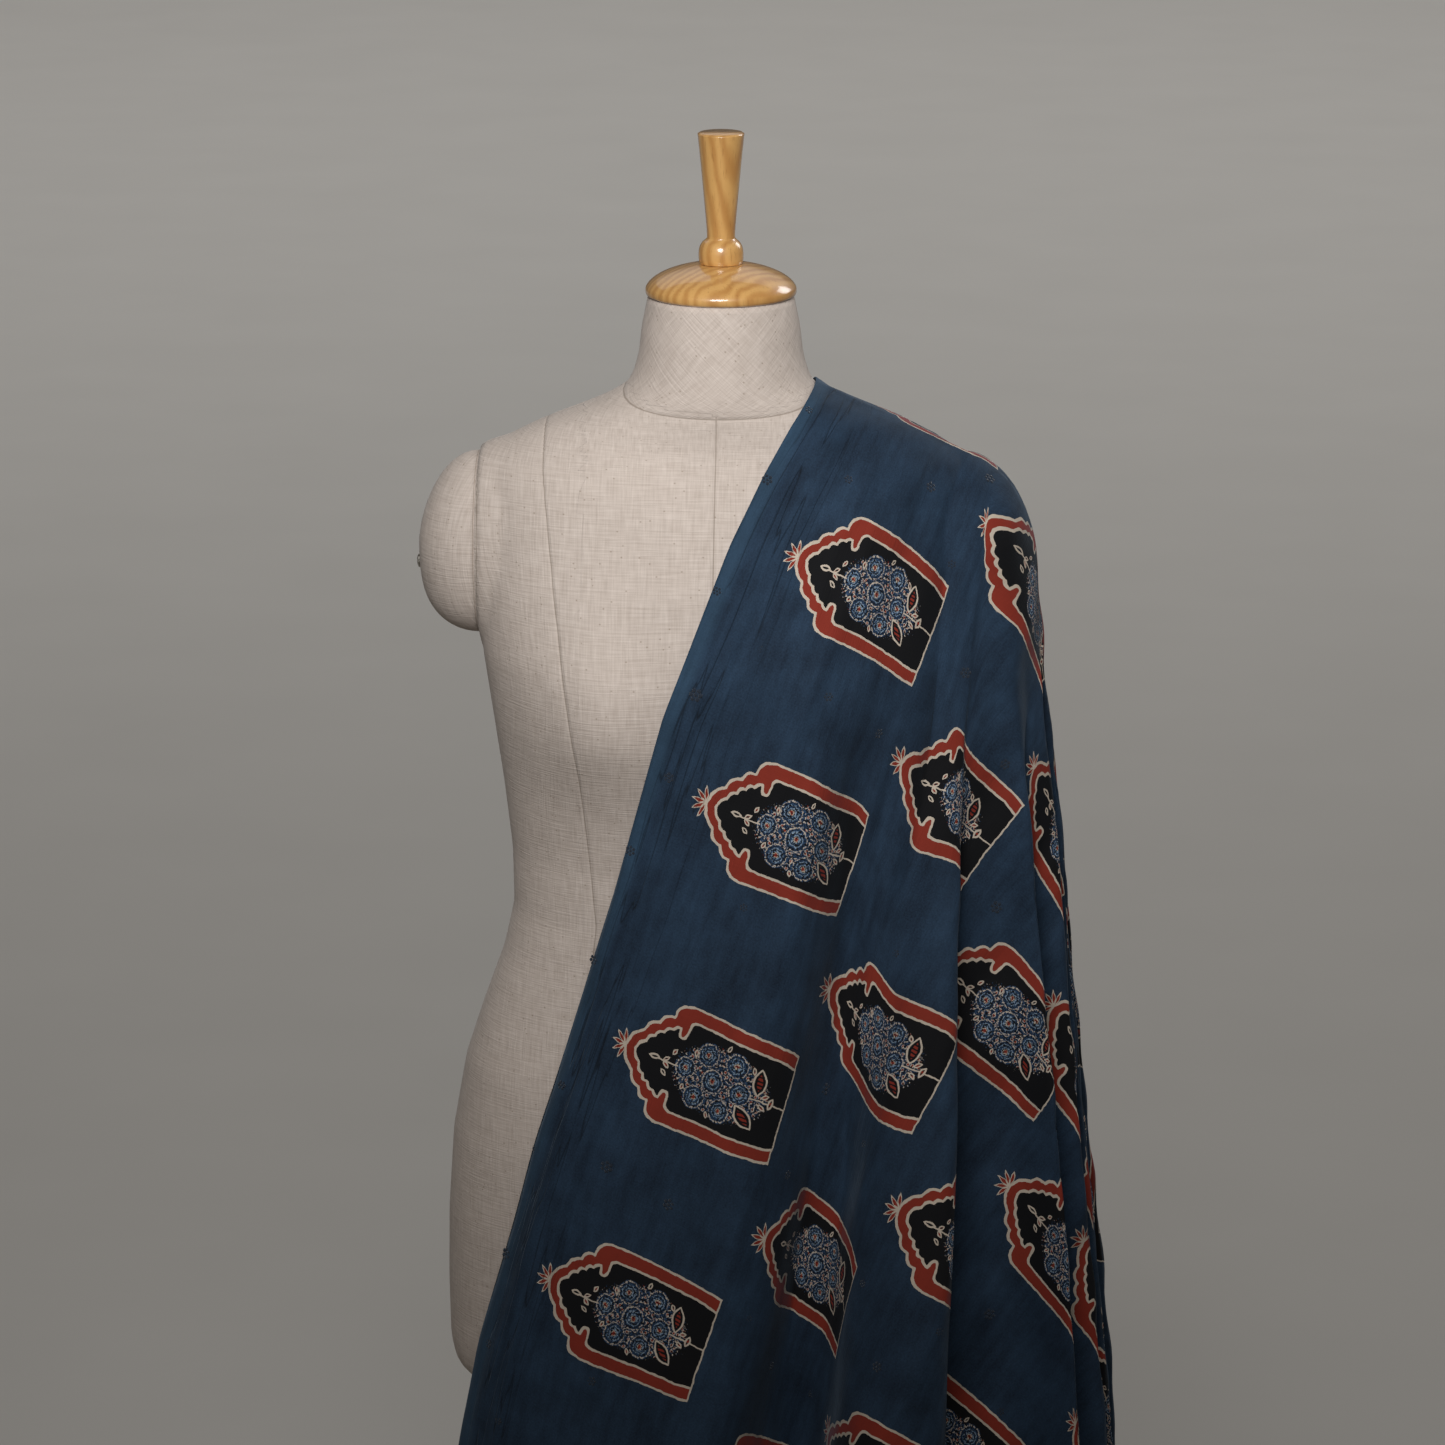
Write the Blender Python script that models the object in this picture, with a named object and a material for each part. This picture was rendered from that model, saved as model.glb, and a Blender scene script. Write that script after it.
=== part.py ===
"""Ajrakh cloth draped over one shoulder of a plain linen dress form on a round stand.

Metres, +Z up. The form faces -Y, +X is its left side. The origin is the centre of the
base's underside. The cloth is one cut length laid over the left shoulder like a half cape:
it rests on the shoulder and the chest, and hangs below them in folds.
"""
import math

import bmesh
import bpy
import numpy as np

# Driving sizes of the cloth
CLOTH_LENGTH = 1.90         # along the warp, half in front and half behind
CLOTH_WIDTH = 1.10          # selvedge to selvedge
CLOTH_THICK = 0.002
MERGE = 0.0032              # neighbouring points this close become one
CLOTH_GAP = 0.0042          # middle of the sheet to the form it lies on
PANEL_STEPS = 24            # quads across the panel that hangs from the shoulder
SIDE_STEPS = 40             # quads from there round to the middle of the side
DROP_STEPS = 22             # quads down each fall line
DROP_PACKING = 1.2          # how much closer they are near the shoulder

# Where the cloth lies on the shoulder
NECK_X = 0.070              # inner selvedge, beside the neck
ARM_END_X = 0.198           # where the shoulder turns down over the arm cap
SHOULDER_WIDTH = 0.185      # cloth between those two places
CAP_REACH = 0.020           # how much further the fall lines start, going round the arm
CAP_WIDTH = 0.036           # cloth along that stretch, down over the end of the arm cap
FALL_ANGLE = math.radians(22.0)     # a fall line from the arm end, against the warp
REF_HEIGHT = 0.66           # height at which the fold tables are given
ARM_BASE_X = 0.170          # the folds beyond this X spread round the arm

# Folds at REF_HEIGHT, from the inner selvedge to the middle of the side: name, x, y
FRONT_FOLDS = (
    ("selvedge", -0.190, -0.106),
    ("edge roll", -0.158, -0.142),
    ("panel", -0.075, -0.168),
    ("panel crest", 0.012, -0.182),
    ("first hollow", 0.064, -0.106),
    ("broad crest", 0.112, -0.208),
    ("pleat lip", 0.178, -0.214),
    ("pleat return", 0.152, -0.134),
    ("second hollow", 0.222, -0.098),
    ("corner crest", 0.284, -0.134),
    ("corner return", 0.230, -0.074),
    ("side crest", 0.305, -0.062),
    ("side hollow", 0.214, -0.042),
    ("third crest", 0.308, -0.026),
    ("third hollow", 0.216, -0.008),
    ("fourth crest", 0.306, 0.006),
    ("middle", 0.250, 0.024),
)
BACK_FOLDS = (
    ("selvedge", -0.182, 0.152),
    ("panel", -0.110, 0.182),
    ("panel crest", -0.030, 0.192),
    ("first hollow", 0.016, 0.142),
    ("broad crest", 0.074, 0.214),
    ("second hollow", 0.116, 0.142),
    ("corner crest", 0.168, 0.222),
    ("third hollow", 0.182, 0.134),
    ("corner return", 0.256, 0.190),
    ("fourth hollow", 0.212, 0.108),
    ("side crest", 0.306, 0.136),
    ("side hollow", 0.216, 0.086),
    ("fifth crest", 0.310, 0.092),
    ("fifth hollow", 0.216, 0.056),
    ("back crest", 0.306, 0.050),
    ("middle", 0.250, 0.024),
)
# Way across made by the inner selvedge at each share of the drop: drop, across
SELVEDGE_SWEEP = (
    (0.00, 0.000), (0.03, 0.062), (0.07, 0.132), (0.13, 0.222), (0.28, 0.400),
    (0.45, 0.543), (0.70, 0.778), (0.90, 0.945), (1.00, 1.000), (2.00, 1.420),
)
FOLD_START = 0.08           # share of the drop where folds begin
FOLD_FULL = 0.42
FOLD_SPREAD_BELOW = 0.10    # how fast folds still widen below REF_HEIGHT
FOLD_DRIFT = 0.075          # how far along the cloth a fold starts from where it ends up
DRIFT_END = 0.80            # share of the drop where a fold has got there
DRIFT_PLACES = (0.15, 0.36, 0.75, 0.95)     # where along the cloth that begins, holds and ends
SIDE_SWELL = 0.007          # how far the cloth stands out below the arm
SWELL_END = 0.50            # share of the drop where that is over
SWELL_LEAN = 0.65           # below 1 it stands out most near the top
SWELL_ROOM = 0.25           # clear of the arm's line by this much, it stands out in full
FOLD_ROUNDING = 0.010       # width of the mean that rounds each fold, as a share of the plan
FALL_ROUNDING = 0.055       # width of the mean that takes the folds out
PANEL_RUN = CLOTH_LENGTH * 0.4474       # inner selvedge from the ridge to REF_HEIGHT

# How finely the fall lines are worked out
CURVE_STEPS = 24            # points between two folds of a plan
EVEN_STEPS = 600            # points on each plan curve
LEVELS = 90                 # heights on each fall line
LEVEL_PACKING = 1.6         # how much closer they are near the shoulder
DEEPEST = 2.0               # last height, in drops from the shoulder to REF_HEIGHT
SLOPE_LEVELS = 6            # levels above REF_HEIGHT that give the slope carried on below
REACH_LIMIT = 0.40          # furthest the form can stand from its middle
REACH_ROUNDS = 22           # halvings that find the form's surface
CORNER_ROUNDS = 8           # rounds that find the fall line at the cut cloth's corner

# Torso of the form: height, half width, front depth, back depth, roundness
TORSO_SECTIONS = (
    (0.6800, 0.1860, 0.1000, 0.1100, 2.30),
    (0.6840, 0.1970, 0.1080, 0.1180, 2.30),
    (0.6940, 0.2050, 0.1130, 0.1240, 2.30),
    (0.7120, 0.2085, 0.1160, 0.1270, 2.30),
    (0.7600, 0.2093, 0.1200, 0.1320, 2.30),
    (0.8150, 0.2084, 0.1220, 0.1360, 2.30),
    (0.8790, 0.2041, 0.1200, 0.1320, 2.30),
    (0.9370, 0.1937, 0.1140, 0.1200, 2.30),
    (0.9800, 0.1796, 0.1080, 0.1090, 2.20),
    (1.0230, 0.1641, 0.1020, 0.1000, 2.20),
    (1.0580, 0.1563, 0.0990, 0.0970, 2.20),
    (1.1020, 0.1571, 0.1000, 0.0980, 2.20),
    (1.1540, 0.1628, 0.1050, 0.1030, 2.30),
    (1.2050, 0.1698, 0.1100, 0.1080, 2.40),
    (1.2570, 0.1774, 0.1080, 0.1120, 2.50),
    (1.3100, 0.1795, 0.1000, 0.1120, 2.60),
    (1.3600, 0.1805, 0.0860, 0.1060, 2.60),
    (1.3865, 0.1812, 0.0760, 0.0960, 2.50),
    (1.3995, 0.1792, 0.0690, 0.0890, 2.30),
    (1.4066, 0.1704, 0.0650, 0.0850, 2.15),
    (1.4140, 0.1600, 0.0620, 0.0810, 2.00),
    (1.4270, 0.1338, 0.0600, 0.0760, 2.00),
    (1.4370, 0.1070, 0.0590, 0.0720, 2.00),
    (1.4464, 0.0840, 0.0590, 0.0690, 2.00),
    (1.4555, 0.0700, 0.0590, 0.0660, 2.00),
    (1.4640, 0.0648, 0.0580, 0.0620, 2.00),
    (1.4800, 0.0604, 0.0570, 0.0580, 2.00),
    (1.5000, 0.0583, 0.0555, 0.0560, 2.00),
    (1.5220, 0.0537, 0.0530, 0.0530, 2.00),
)
TORSO_SIDES = 48
BUST_X = 0.082
BUST_Z = 1.235
BUST_SIZE = (0.062, 0.070)
BUST_DEPTH = 0.030
BUST_EDGE = 0.7             # share of the front depth where the mounds fade out
SHOULDER_FROM = 1.39        # lowest height of the shoulder's ridge

# Arm caps: padded domes that close the armholes
CAP_Y = 0.004
CAP_Z = 1.3335
CAP_HALF_HEIGHT = 0.0685
CAP_HALF_DEPTH = 0.052
CAP_ROOT_X = 0.150
CAP_SEAM_X = 0.181
CAP_BULGE = 0.0445
CAP_SIDES = 32
CAP_RINGS = 9
CAP_ROUND_TOP = 1.20        # how the dome rounds off above its middle
CAP_ROUND_BOTTOM = 0.66     # and below it, where it is fuller

# Turned and fitted pieces: radius, height along each outline
GAP = 0.0003                # between pieces that touch
NECK_TOP = TORSO_SECTIONS[-1][0]
NECK_CAP_OUTLINE = (
    (0.0530, NECK_TOP + GAP), (0.0552, 1.5236), (0.0558, 1.5262), (0.0550, 1.5292),
    (0.0515, 1.5333), (0.0450, 1.5376), (0.0360, 1.5413), (0.0260, 1.5440), (0.0180, 1.5455),
)
FINIAL_BOTTOM = NECK_CAP_OUTLINE[-1][1] + GAP
FINIAL_OUTLINE = (
    (0.0156, FINIAL_BOTTOM), (0.0164, 1.5486), (0.0166, 1.5520), (0.0164, 1.5552),
    (0.0155, 1.5588), (0.0136, 1.5618), (0.0111, 1.5640), (0.0104, 1.5665),
    (0.0112, 1.5790), (0.0150, 1.6200), (0.0170, 1.6395), (0.0168, 1.6415), (0.0158, 1.6425),
)
BASE_RADIUS = 0.185
BASE_THICK = 0.012
POLE_RADIUS = 0.015
COLLAR_HEIGHT = 0.030
COLLAR_RADIUS = 0.045
COLLAR_FOOT = 0.027         # radius of its lower end
COLLAR_TAPER = 0.015        # height over which it widens
BASE_EDGE = 0.003           # bevel round the base's upper edge
SCREW_RADIUS = 0.0055       # the screw in the end of the bare arm cap
SCREW_DROP = 0.0155         # how far it sits below the cap's middle
SCREW_PROUD = 0.0028
SCREW_WALL = 0.00168        # height of its straight side
SCREW_FLAT = 0.0033         # radius of the flat on its head
TURNED_SIDES = 32
BASE_SIDES = 48
SCREW_SIDES = 16
SHARP_ANGLE = math.radians(40)


def material(name, colour, roughness, metallic=0.0):
    """A plain Principled finish in linear colour."""
    finish = bpy.data.materials.new(name)
    finish.use_nodes = True
    shader = finish.node_tree.nodes["Principled BSDF"]
    shader.inputs["Base Color"].default_value = (*colour, 1.0)
    shader.inputs["Roughness"].default_value = roughness
    shader.inputs["Metallic"].default_value = metallic
    return finish


def add_object(name, verts, faces, finish):
    """One named object from points and faces, smooth but for its sharp edges."""
    mesh = bpy.data.meshes.new(name)
    mesh.from_pydata([tuple(map(float, v)) for v in verts], [], faces)
    mesh.update()
    mesh.materials.append(finish)
    mesh.shade_smooth()
    mesh.set_sharp_from_angle(angle=SHARP_ANGLE)
    obj = bpy.data.objects.new(name, mesh)
    bpy.context.scene.collection.objects.link(obj)
    return obj


def rings_to_faces(rings, sides):
    """Quads between neighbouring rings, and a cap on each end."""
    faces = []
    for ring in range(rings - 1):
        for i in range(sides):
            j = (i + 1) % sides
            low = ring * sides
            high = low + sides
            faces.append((low + i, low + j, high + j, high + i))
    faces.append(tuple(reversed(range(sides))))
    faces.append(tuple(range((rings - 1) * sides, rings * sides)))
    return faces


def turned(name, outline, finish, sides=TURNED_SIDES):
    """A solid turned about a vertical axis from radius and height, bottom first."""
    verts = []
    for radius, height in outline:
        for i in range(sides):
            angle = 2 * math.pi * i / sides
            verts.append((radius * math.cos(angle), radius * math.sin(angle), height))
    return add_object(name, verts, rings_to_faces(len(outline), sides), finish)


def torso_section(z):
    """Half width, front depth, back depth and roundness of the torso at a height."""
    table = np.array(TORSO_SECTIONS)
    return [np.interp(z, table[:, 0], table[:, k]) for k in range(1, 5)]


def bust(x, z):
    """How far the two bust mounds stand forward of the plain section."""
    out = 0.0
    for side in (-1, 1):
        away = ((x - side * BUST_X) / BUST_SIZE[0]) ** 2 + ((z - BUST_Z) / BUST_SIZE[1]) ** 2
        out = out + BUST_DEPTH * np.exp(-away)
    return out


def torso_solid(name, finish, grow=0.0):
    """The torso and neck, lofted through its sections."""
    verts = []
    for z, half_width, front, back, roundness in TORSO_SECTIONS:
        for i in range(TORSO_SIDES):
            angle = 2 * math.pi * i / TORSO_SIDES
            c, s = math.cos(angle), math.sin(angle)
            depth = back if s > 0 else front
            x = (half_width + grow) * math.copysign(abs(c) ** (2 / roundness), c)
            y = (depth + grow) * math.copysign(abs(s) ** (2 / roundness), s)
            if s < 0:
                y -= float(bust(x, z)) * min(1.0, abs(y) / (BUST_EDGE * depth))
            verts.append((x, y, z))
    return add_object(name, verts, rings_to_faces(len(TORSO_SECTIONS), TORSO_SIDES), finish)


def cap_sizes(rise):
    """Half depth and the heights above and below the middle at a share of the cap's bulge."""
    level = np.sqrt(np.clip(1 - rise ** 2, 1e-9, 1))
    high = level ** CAP_ROUND_TOP
    low = level ** CAP_ROUND_BOTTOM
    return (CAP_HALF_DEPTH * (high + low) / 2, CAP_HALF_HEIGHT * high, CAP_HALF_HEIGHT * low)


def arm_cap_solid(name, side, torso_cutter, finish):
    """A dome over the armhole, cut to the torso's side."""
    verts = []
    for ring in range(CAP_RINGS):
        angle = max(ring - 1, 0) / (CAP_RINGS - 1) * math.pi / 2
        out = CAP_SEAM_X + CAP_BULGE * math.sin(angle) if ring else CAP_ROOT_X
        deep, high, low = cap_sizes(math.sin(angle))
        for i in range(CAP_SIDES):
            turn = 2 * math.pi * i / CAP_SIDES * side
            tall = high if math.sin(turn) > 0 else low
            verts.append((side * out, CAP_Y + deep * math.cos(turn), CAP_Z + tall * math.sin(turn)))
    cap = add_object(name, verts, rings_to_faces(CAP_RINGS, CAP_SIDES), finish)
    cut = cap.modifiers.new("fit to torso", "BOOLEAN")
    cut.operation = "DIFFERENCE"
    cut.solver = "EXACT"
    cut.object = torso_cutter
    return cap


def screw_solid(name, finish):
    """The round head of the screw that shows at the end of the bare arm cap."""
    last = (CAP_RINGS - 2) / (CAP_RINGS - 1) * math.pi / 2
    tip = CAP_SEAM_X + CAP_BULGE * math.sin(last)
    rings = ((tip + GAP, SCREW_RADIUS), (tip + SCREW_WALL, SCREW_RADIUS),
             (tip + SCREW_PROUD, SCREW_FLAT))
    verts = []
    for out, radius in rings:
        for i in range(SCREW_SIDES):
            turn = -2 * math.pi * i / SCREW_SIDES
            verts.append((-out, CAP_Y + radius * math.cos(turn),
                          CAP_Z - SCREW_DROP + radius * math.sin(turn)))
    return add_object(name, verts, rings_to_faces(len(rings), SCREW_SIDES), finish)


def in_torso(x, y, z):
    """True where a point lies inside the torso."""
    half_width, front, back, roundness = torso_section(z)
    depth = np.where(y > 0, back, front)
    level = np.clip(1 - (np.abs(x) / half_width) ** roundness, 0, None)
    reach = depth * level ** (1 / roundness) + np.where(y < 0, bust(x, z), 0.0)
    inside = (np.abs(x) < half_width) & (np.abs(y) < reach)
    return inside & (z > TORSO_SECTIONS[0][0]) & (z < NECK_TOP)


def in_arm_cap(x, y, z):
    """True where a point lies inside the arm cap on the cloth's side."""
    rise = np.clip((x - CAP_SEAM_X) / CAP_BULGE, 0, 1)
    deep, high, low = cap_sizes(rise)
    tall = np.where(z > CAP_Z, high, low)
    away = ((y - CAP_Y) / deep) ** 2 + ((z - CAP_Z) / tall) ** 2
    return (x > CAP_ROOT_X) & (x < CAP_SEAM_X + CAP_BULGE) & (away < 1)


def form_reach(base_x, direction_x, direction_y, z):
    """Distance from (base_x, 0) to the form's surface along a level direction."""
    low = np.zeros_like(base_x)
    high = np.full_like(base_x, REACH_LIMIT)
    for _ in range(REACH_ROUNDS):
        middle = (low + high) / 2
        x = base_x + middle * direction_x
        y = middle * direction_y
        inside = in_torso(x, y, z) | in_arm_cap(x, y, z)
        low = np.where(inside, middle, low)
        high = np.where(inside, high, middle)
    return low


def ridge_height(x):
    """Height of the shoulder's ridge, over torso and arm cap."""
    table = np.array(TORSO_SECTIONS)
    top = table[table[:, 0] > SHOULDER_FROM]
    torso = np.interp(-x, -top[:, 1], top[:, 0])
    rise = np.clip((x - CAP_SEAM_X) / CAP_BULGE, 0, 1)
    cap = CAP_Z + cap_sizes(rise)[1]
    return np.where(x < CAP_SEAM_X, np.maximum(torso, CAP_Z), cap)


def smooth_step(low, high, value):
    """0 below low, 1 above high, and a smooth rise between."""
    share = np.clip((value - low) / (high - low), 0, 1)
    return share * share * (3 - 2 * share)


def curve_through(rows):
    """Evenly spaced points on a smooth plan curve through the fold rows."""
    points = np.array([(x, y) for _, x, y in rows])
    padded = np.vstack([2 * points[0] - points[1], points, 2 * points[-1] - points[-2]])
    plan = []
    for k in range(len(points) - 1):
        p0, p1, p2, p3 = padded[k:k + 4]
        for t in np.linspace(0, 1, CURVE_STEPS, endpoint=False):
            plan.append(0.5 * (2 * p1 + (p2 - p0) * t + (2 * p0 - 5 * p1 + 4 * p2 - p3) * t ** 2
                               + (3 * p1 - p0 - 3 * p2 + p3) * t ** 3))
    plan = np.array(plan + [points[-1]])
    run = np.concatenate([[0], np.cumsum(np.hypot(*np.diff(plan, axis=0).T))])
    even = np.linspace(0, run[-1], EVEN_STEPS)
    return np.stack([np.interp(even, run, plan[:, k]) for k in (0, 1)], axis=1)


def evened(plan, width):
    """A plan curve evened out by a running mean along the cloth, width as a share of it."""
    spread = int(width * EVEN_STEPS)
    span = 3 * spread
    kernel = np.exp(-0.5 * (np.arange(-span, span + 1) / spread) ** 2)
    kernel /= kernel.sum()
    ahead = 2 * plan[0] - plan[1:span + 1][::-1]
    behind = 2 * plan[-1] - plan[-span - 1:-1][::-1]
    padded = np.vstack([ahead, plan, behind])
    return np.stack([np.convolve(padded[:, k], kernel, "valid") for k in (0, 1)], axis=1)


def upper_hull(place, height):
    """The taut line over a profile: it spans the hollows and touches what stands out."""
    kept = []
    for point in zip(place, height):
        while len(kept) > 1:
            (x0, h0), (x1, h1) = kept[-2], kept[-1]
            if (h1 - h0) * (point[0] - x0) > (point[1] - h0) * (x1 - x0):
                break
            kept.pop()
        kept.append(point)
    kept = np.array(kept)
    return np.interp(place, kept[:, 0], kept[:, 1])


def pattern_sizes():
    """Lengths at REF_HEIGHT of the panel and of the cone round the arm."""
    arm_drop = float(ridge_height(ARM_END_X)) - REF_HEIGHT
    panel = PANEL_RUN * math.sin(FALL_ANGLE) + SHOULDER_WIDTH * math.cos(FALL_ANGLE)
    return panel, arm_drop * (math.pi / 2 - FALL_ANGLE)


def fall_lines(rows, along):
    """Points down the fall lines at places along REF_HEIGHT, and the run from the shoulder."""
    panel, cone = pattern_sizes()
    folded = evened(curve_through(rows), FOLD_ROUNDING)
    plain = evened(folded, FALL_ROUNDING)
    even = np.linspace(0, panel + cone, EVEN_STEPS)
    offset = folded - plain
    plain = np.stack([np.interp(along, even, plain[:, k]) for k in (0, 1)], axis=1)
    columns = len(along)
    share = np.clip(along / panel, 0, 1)
    round_arm = np.clip((along - panel) / cone, 0, 1)
    top_x = NECK_X + (ARM_END_X - NECK_X) * share + CAP_REACH * round_arm
    ridge_x = np.linspace(NECK_X, ARM_END_X + CAP_REACH, LEVELS)
    top_z = np.interp(top_x, ridge_x, upper_hull(ridge_x, ridge_height(ridge_x))) + CLOTH_GAP
    beyond = plain[:, 0] > ARM_BASE_X
    foot_x = np.where(beyond, ARM_BASE_X, plain[:, 0])
    away = np.stack([plain[:, 0] - foot_x, plain[:, 1]], axis=1)
    reach_ref = np.hypot(away[:, 0], away[:, 1])
    direction = away / reach_ref[:, None]
    sweep = np.array(SELVEDGE_SWEEP)
    lines = np.zeros((columns, LEVELS, 3))
    drop = np.linspace(0, 1, LEVELS) ** LEVEL_PACKING * DEEPEST
    above = drop < 1.0
    begin, hold, leave, end = DRIFT_PLACES
    drift = smooth_step(begin, hold, along) * (1 - smooth_step(leave, end, along)) * FOLD_DRIFT
    swell = np.sin(math.pi * np.clip(drop / SWELL_END, 0, 1) ** SWELL_LEAN) * SIDE_SWELL
    for i in range(columns):
        drop_full = top_z[i] - REF_HEIGHT
        z = top_z[i] - drop * drop_full
        across = np.interp(drop, sweep[:, 0], sweep[:, 1])
        across = share[i] * drop + (1 - share[i]) * across
        base_x = top_x[i] + (foot_x[i] - top_x[i]) * across
        side_x = np.full(LEVELS, direction[i, 0])
        side_y = np.full(LEVELS, direction[i, 1])
        form = form_reach(base_x, side_x, side_y, z - CLOTH_GAP) + CLOTH_GAP
        form[0] = 0.0
        heights = np.append(z[above], REF_HEIGHT)
        outline = upper_hull(-heights, np.append(form[above], reach_ref[i]))
        slope = ((outline[-1] - outline[-SLOPE_LEVELS])
                 / (heights[-1] - heights[-SLOPE_LEVELS]))
        reach = np.where(above, np.interp(-z, -heights, outline)
                         + swell * smooth_step(0, SWELL_ROOM, round_arm[i]),
                         reach_ref[i] + slope * (z - REF_HEIGHT))
        growth = drop * smooth_step(FOLD_START, FOLD_FULL, drop)
        growth = np.where(above, growth, 1 + FOLD_SPREAD_BELOW * (drop - 1))
        place = along[i] + drift[i] * (1 - smooth_step(FOLD_START, DRIFT_END, drop))
        x = base_x + reach * side_x + growth * np.interp(place, even, offset[:, 0])
        y = reach * side_y + growth * np.interp(place, even, offset[:, 1])
        span = np.hypot(x - base_x, y)
        inner = np.maximum(span, 1e-6)
        need = form_reach(base_x, (x - base_x) / inner, y / inner, z - CLOTH_GAP) + CLOTH_GAP
        push = np.where(drop > 0, np.maximum(need / inner, 1.0), 1.0)
        lines[i, :, 0] = base_x + (x - base_x) * push
        lines[i, :, 1] = y * push
        lines[i, :, 2] = z
    parts = np.linalg.norm(np.diff(lines, axis=1), axis=2)
    run = np.concatenate([np.zeros((columns, 1)), np.cumsum(parts, axis=1)], axis=1)
    return lines, run


def cut_place(along):
    """Start, direction against the warp and length of a fall line on the cut cloth."""
    panel, cone = pattern_sizes()
    if along <= panel:
        share = along / panel
        start = SHOULDER_WIDTH * share
        angle = math.atan(share * math.tan(FALL_ANGLE))
    else:
        start = SHOULDER_WIDTH + CAP_WIDTH * (along - panel) / cone
        angle = FALL_ANGLE + (along - panel) / cone * (math.pi / 2 - FALL_ANGLE)
    to_hem = CLOTH_LENGTH / 2 / max(math.cos(angle), 1e-6)
    to_selvedge = (CLOTH_WIDTH - start) / max(math.sin(angle), 1e-6)
    return start, angle, min(to_hem, to_selvedge)


def column_places():
    """Places of the fall lines on both halves, one of them at the cut cloth's outer corner."""
    panel, cone = pattern_sizes()
    side = panel + cone * np.linspace(0, 1, SIDE_STEPS + 1)
    along = np.concatenate([np.linspace(0, panel, PANEL_STEPS, endpoint=False), side])
    place = panel
    for _ in range(CORNER_ROUNDS):
        start = cut_place(place)[0]
        corner = math.atan2(CLOTH_WIDTH - start, CLOTH_LENGTH / 2)
        place = panel + cone * (corner - FALL_ANGLE) / (math.pi / 2 - FALL_ANGLE)
    along[np.argmin(np.abs(along - place))] = place
    return along


def cloth_half(rows):
    """Grid of points on one half, a column down each fall line."""
    along = column_places()
    lines, run = fall_lines(rows, along)
    grid = []
    for i, place in enumerate(along):
        distances = cut_place(place)[2] * np.linspace(0, 1, DROP_STEPS + 1) ** DROP_PACKING
        column = [np.interp(distances, run[i], lines[i, :, k]) for k in range(3)]
        grid.append(np.stack(column, axis=1))
    return grid


def cloth_solid(name, finish):
    """The draped sheet: both halves on their fall lines, joined, then given thickness."""
    bm = bmesh.new()
    for rows, side in ((FRONT_FOLDS, 1), (BACK_FOLDS, -1)):
        grid = [[bm.verts.new(tuple(map(float, p))) for p in column]
                for column in cloth_half(rows)]
        for left, right in zip(grid, grid[1:]):
            for k in range(DROP_STEPS):
                corners = (left[k], right[k], right[k + 1], left[k + 1])
                bm.faces.new(corners[::-side])
    bmesh.ops.remove_doubles(bm, verts=bm.verts, dist=MERGE)
    bmesh.ops.recalc_face_normals(bm, faces=bm.faces)
    bmesh.ops.triangulate(bm, faces=bm.faces)
    mesh = bpy.data.meshes.new(name)
    bm.to_mesh(mesh)
    bm.free()
    mesh.materials.append(finish)
    mesh.shade_smooth()
    cloth = bpy.data.objects.new(name, mesh)
    bpy.context.scene.collection.objects.link(cloth)
    thickness = cloth.modifiers.new("thickness", "SOLIDIFY")
    thickness.thickness = CLOTH_THICK
    thickness.offset = 0.0
    thickness.use_quality_normals = True
    return cloth


def main():
    for old in list(bpy.data.objects):
        bpy.data.objects.remove(old, do_unlink=True)
    linen = material("linen over padding", (0.50, 0.43, 0.35), 0.90)
    indigo = material("indigo printed cotton", (0.021, 0.045, 0.085), 0.85)
    wood = material("lacquered wood", (0.52, 0.29, 0.10), 0.30)
    steel = material("black enamelled steel", (0.02, 0.02, 0.022), 0.45)
    nickel = material("nickel plated steel", (0.70, 0.70, 0.70), 0.25, 1.0)

    torso_solid("torso", linen)
    cutter = torso_solid("torso_cutter", linen, grow=2 * GAP)
    cutter.hide_render = True
    cutter.display_type = "WIRE"
    arm_cap_solid("arm_cap_left", 1, cutter, linen)
    arm_cap_solid("arm_cap_right", -1, cutter, linen)
    screw_solid("arm_screw", nickel)
    turned("neck_cap", NECK_CAP_OUTLINE, wood)
    turned("finial", FINIAL_OUTLINE, wood)

    collar_top = TORSO_SECTIONS[0][0] - GAP
    collar_bottom = collar_top - COLLAR_HEIGHT
    turned("collar", ((COLLAR_FOOT, collar_bottom), (COLLAR_RADIUS, collar_bottom + COLLAR_TAPER),
                      (COLLAR_RADIUS, collar_top)), steel)
    turned("pole", ((POLE_RADIUS, BASE_THICK + GAP), (POLE_RADIUS, collar_bottom - GAP)), nickel)
    turned("base", ((BASE_RADIUS, 0.0), (BASE_RADIUS, BASE_THICK - BASE_EDGE),
                    (BASE_RADIUS - BASE_EDGE, BASE_THICK)), steel, sides=BASE_SIDES)
    cloth_solid("cloth", indigo)


main()
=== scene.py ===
"""Looks of the ajrakh cloth on its linen dress form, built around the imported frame.

Metres, +Z up. The form faces -Y and the cloth lies over its left shoulder (+X).
Run as a script, it loads the frame, makes every piece through its operator and finishes.
"""
import math

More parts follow.
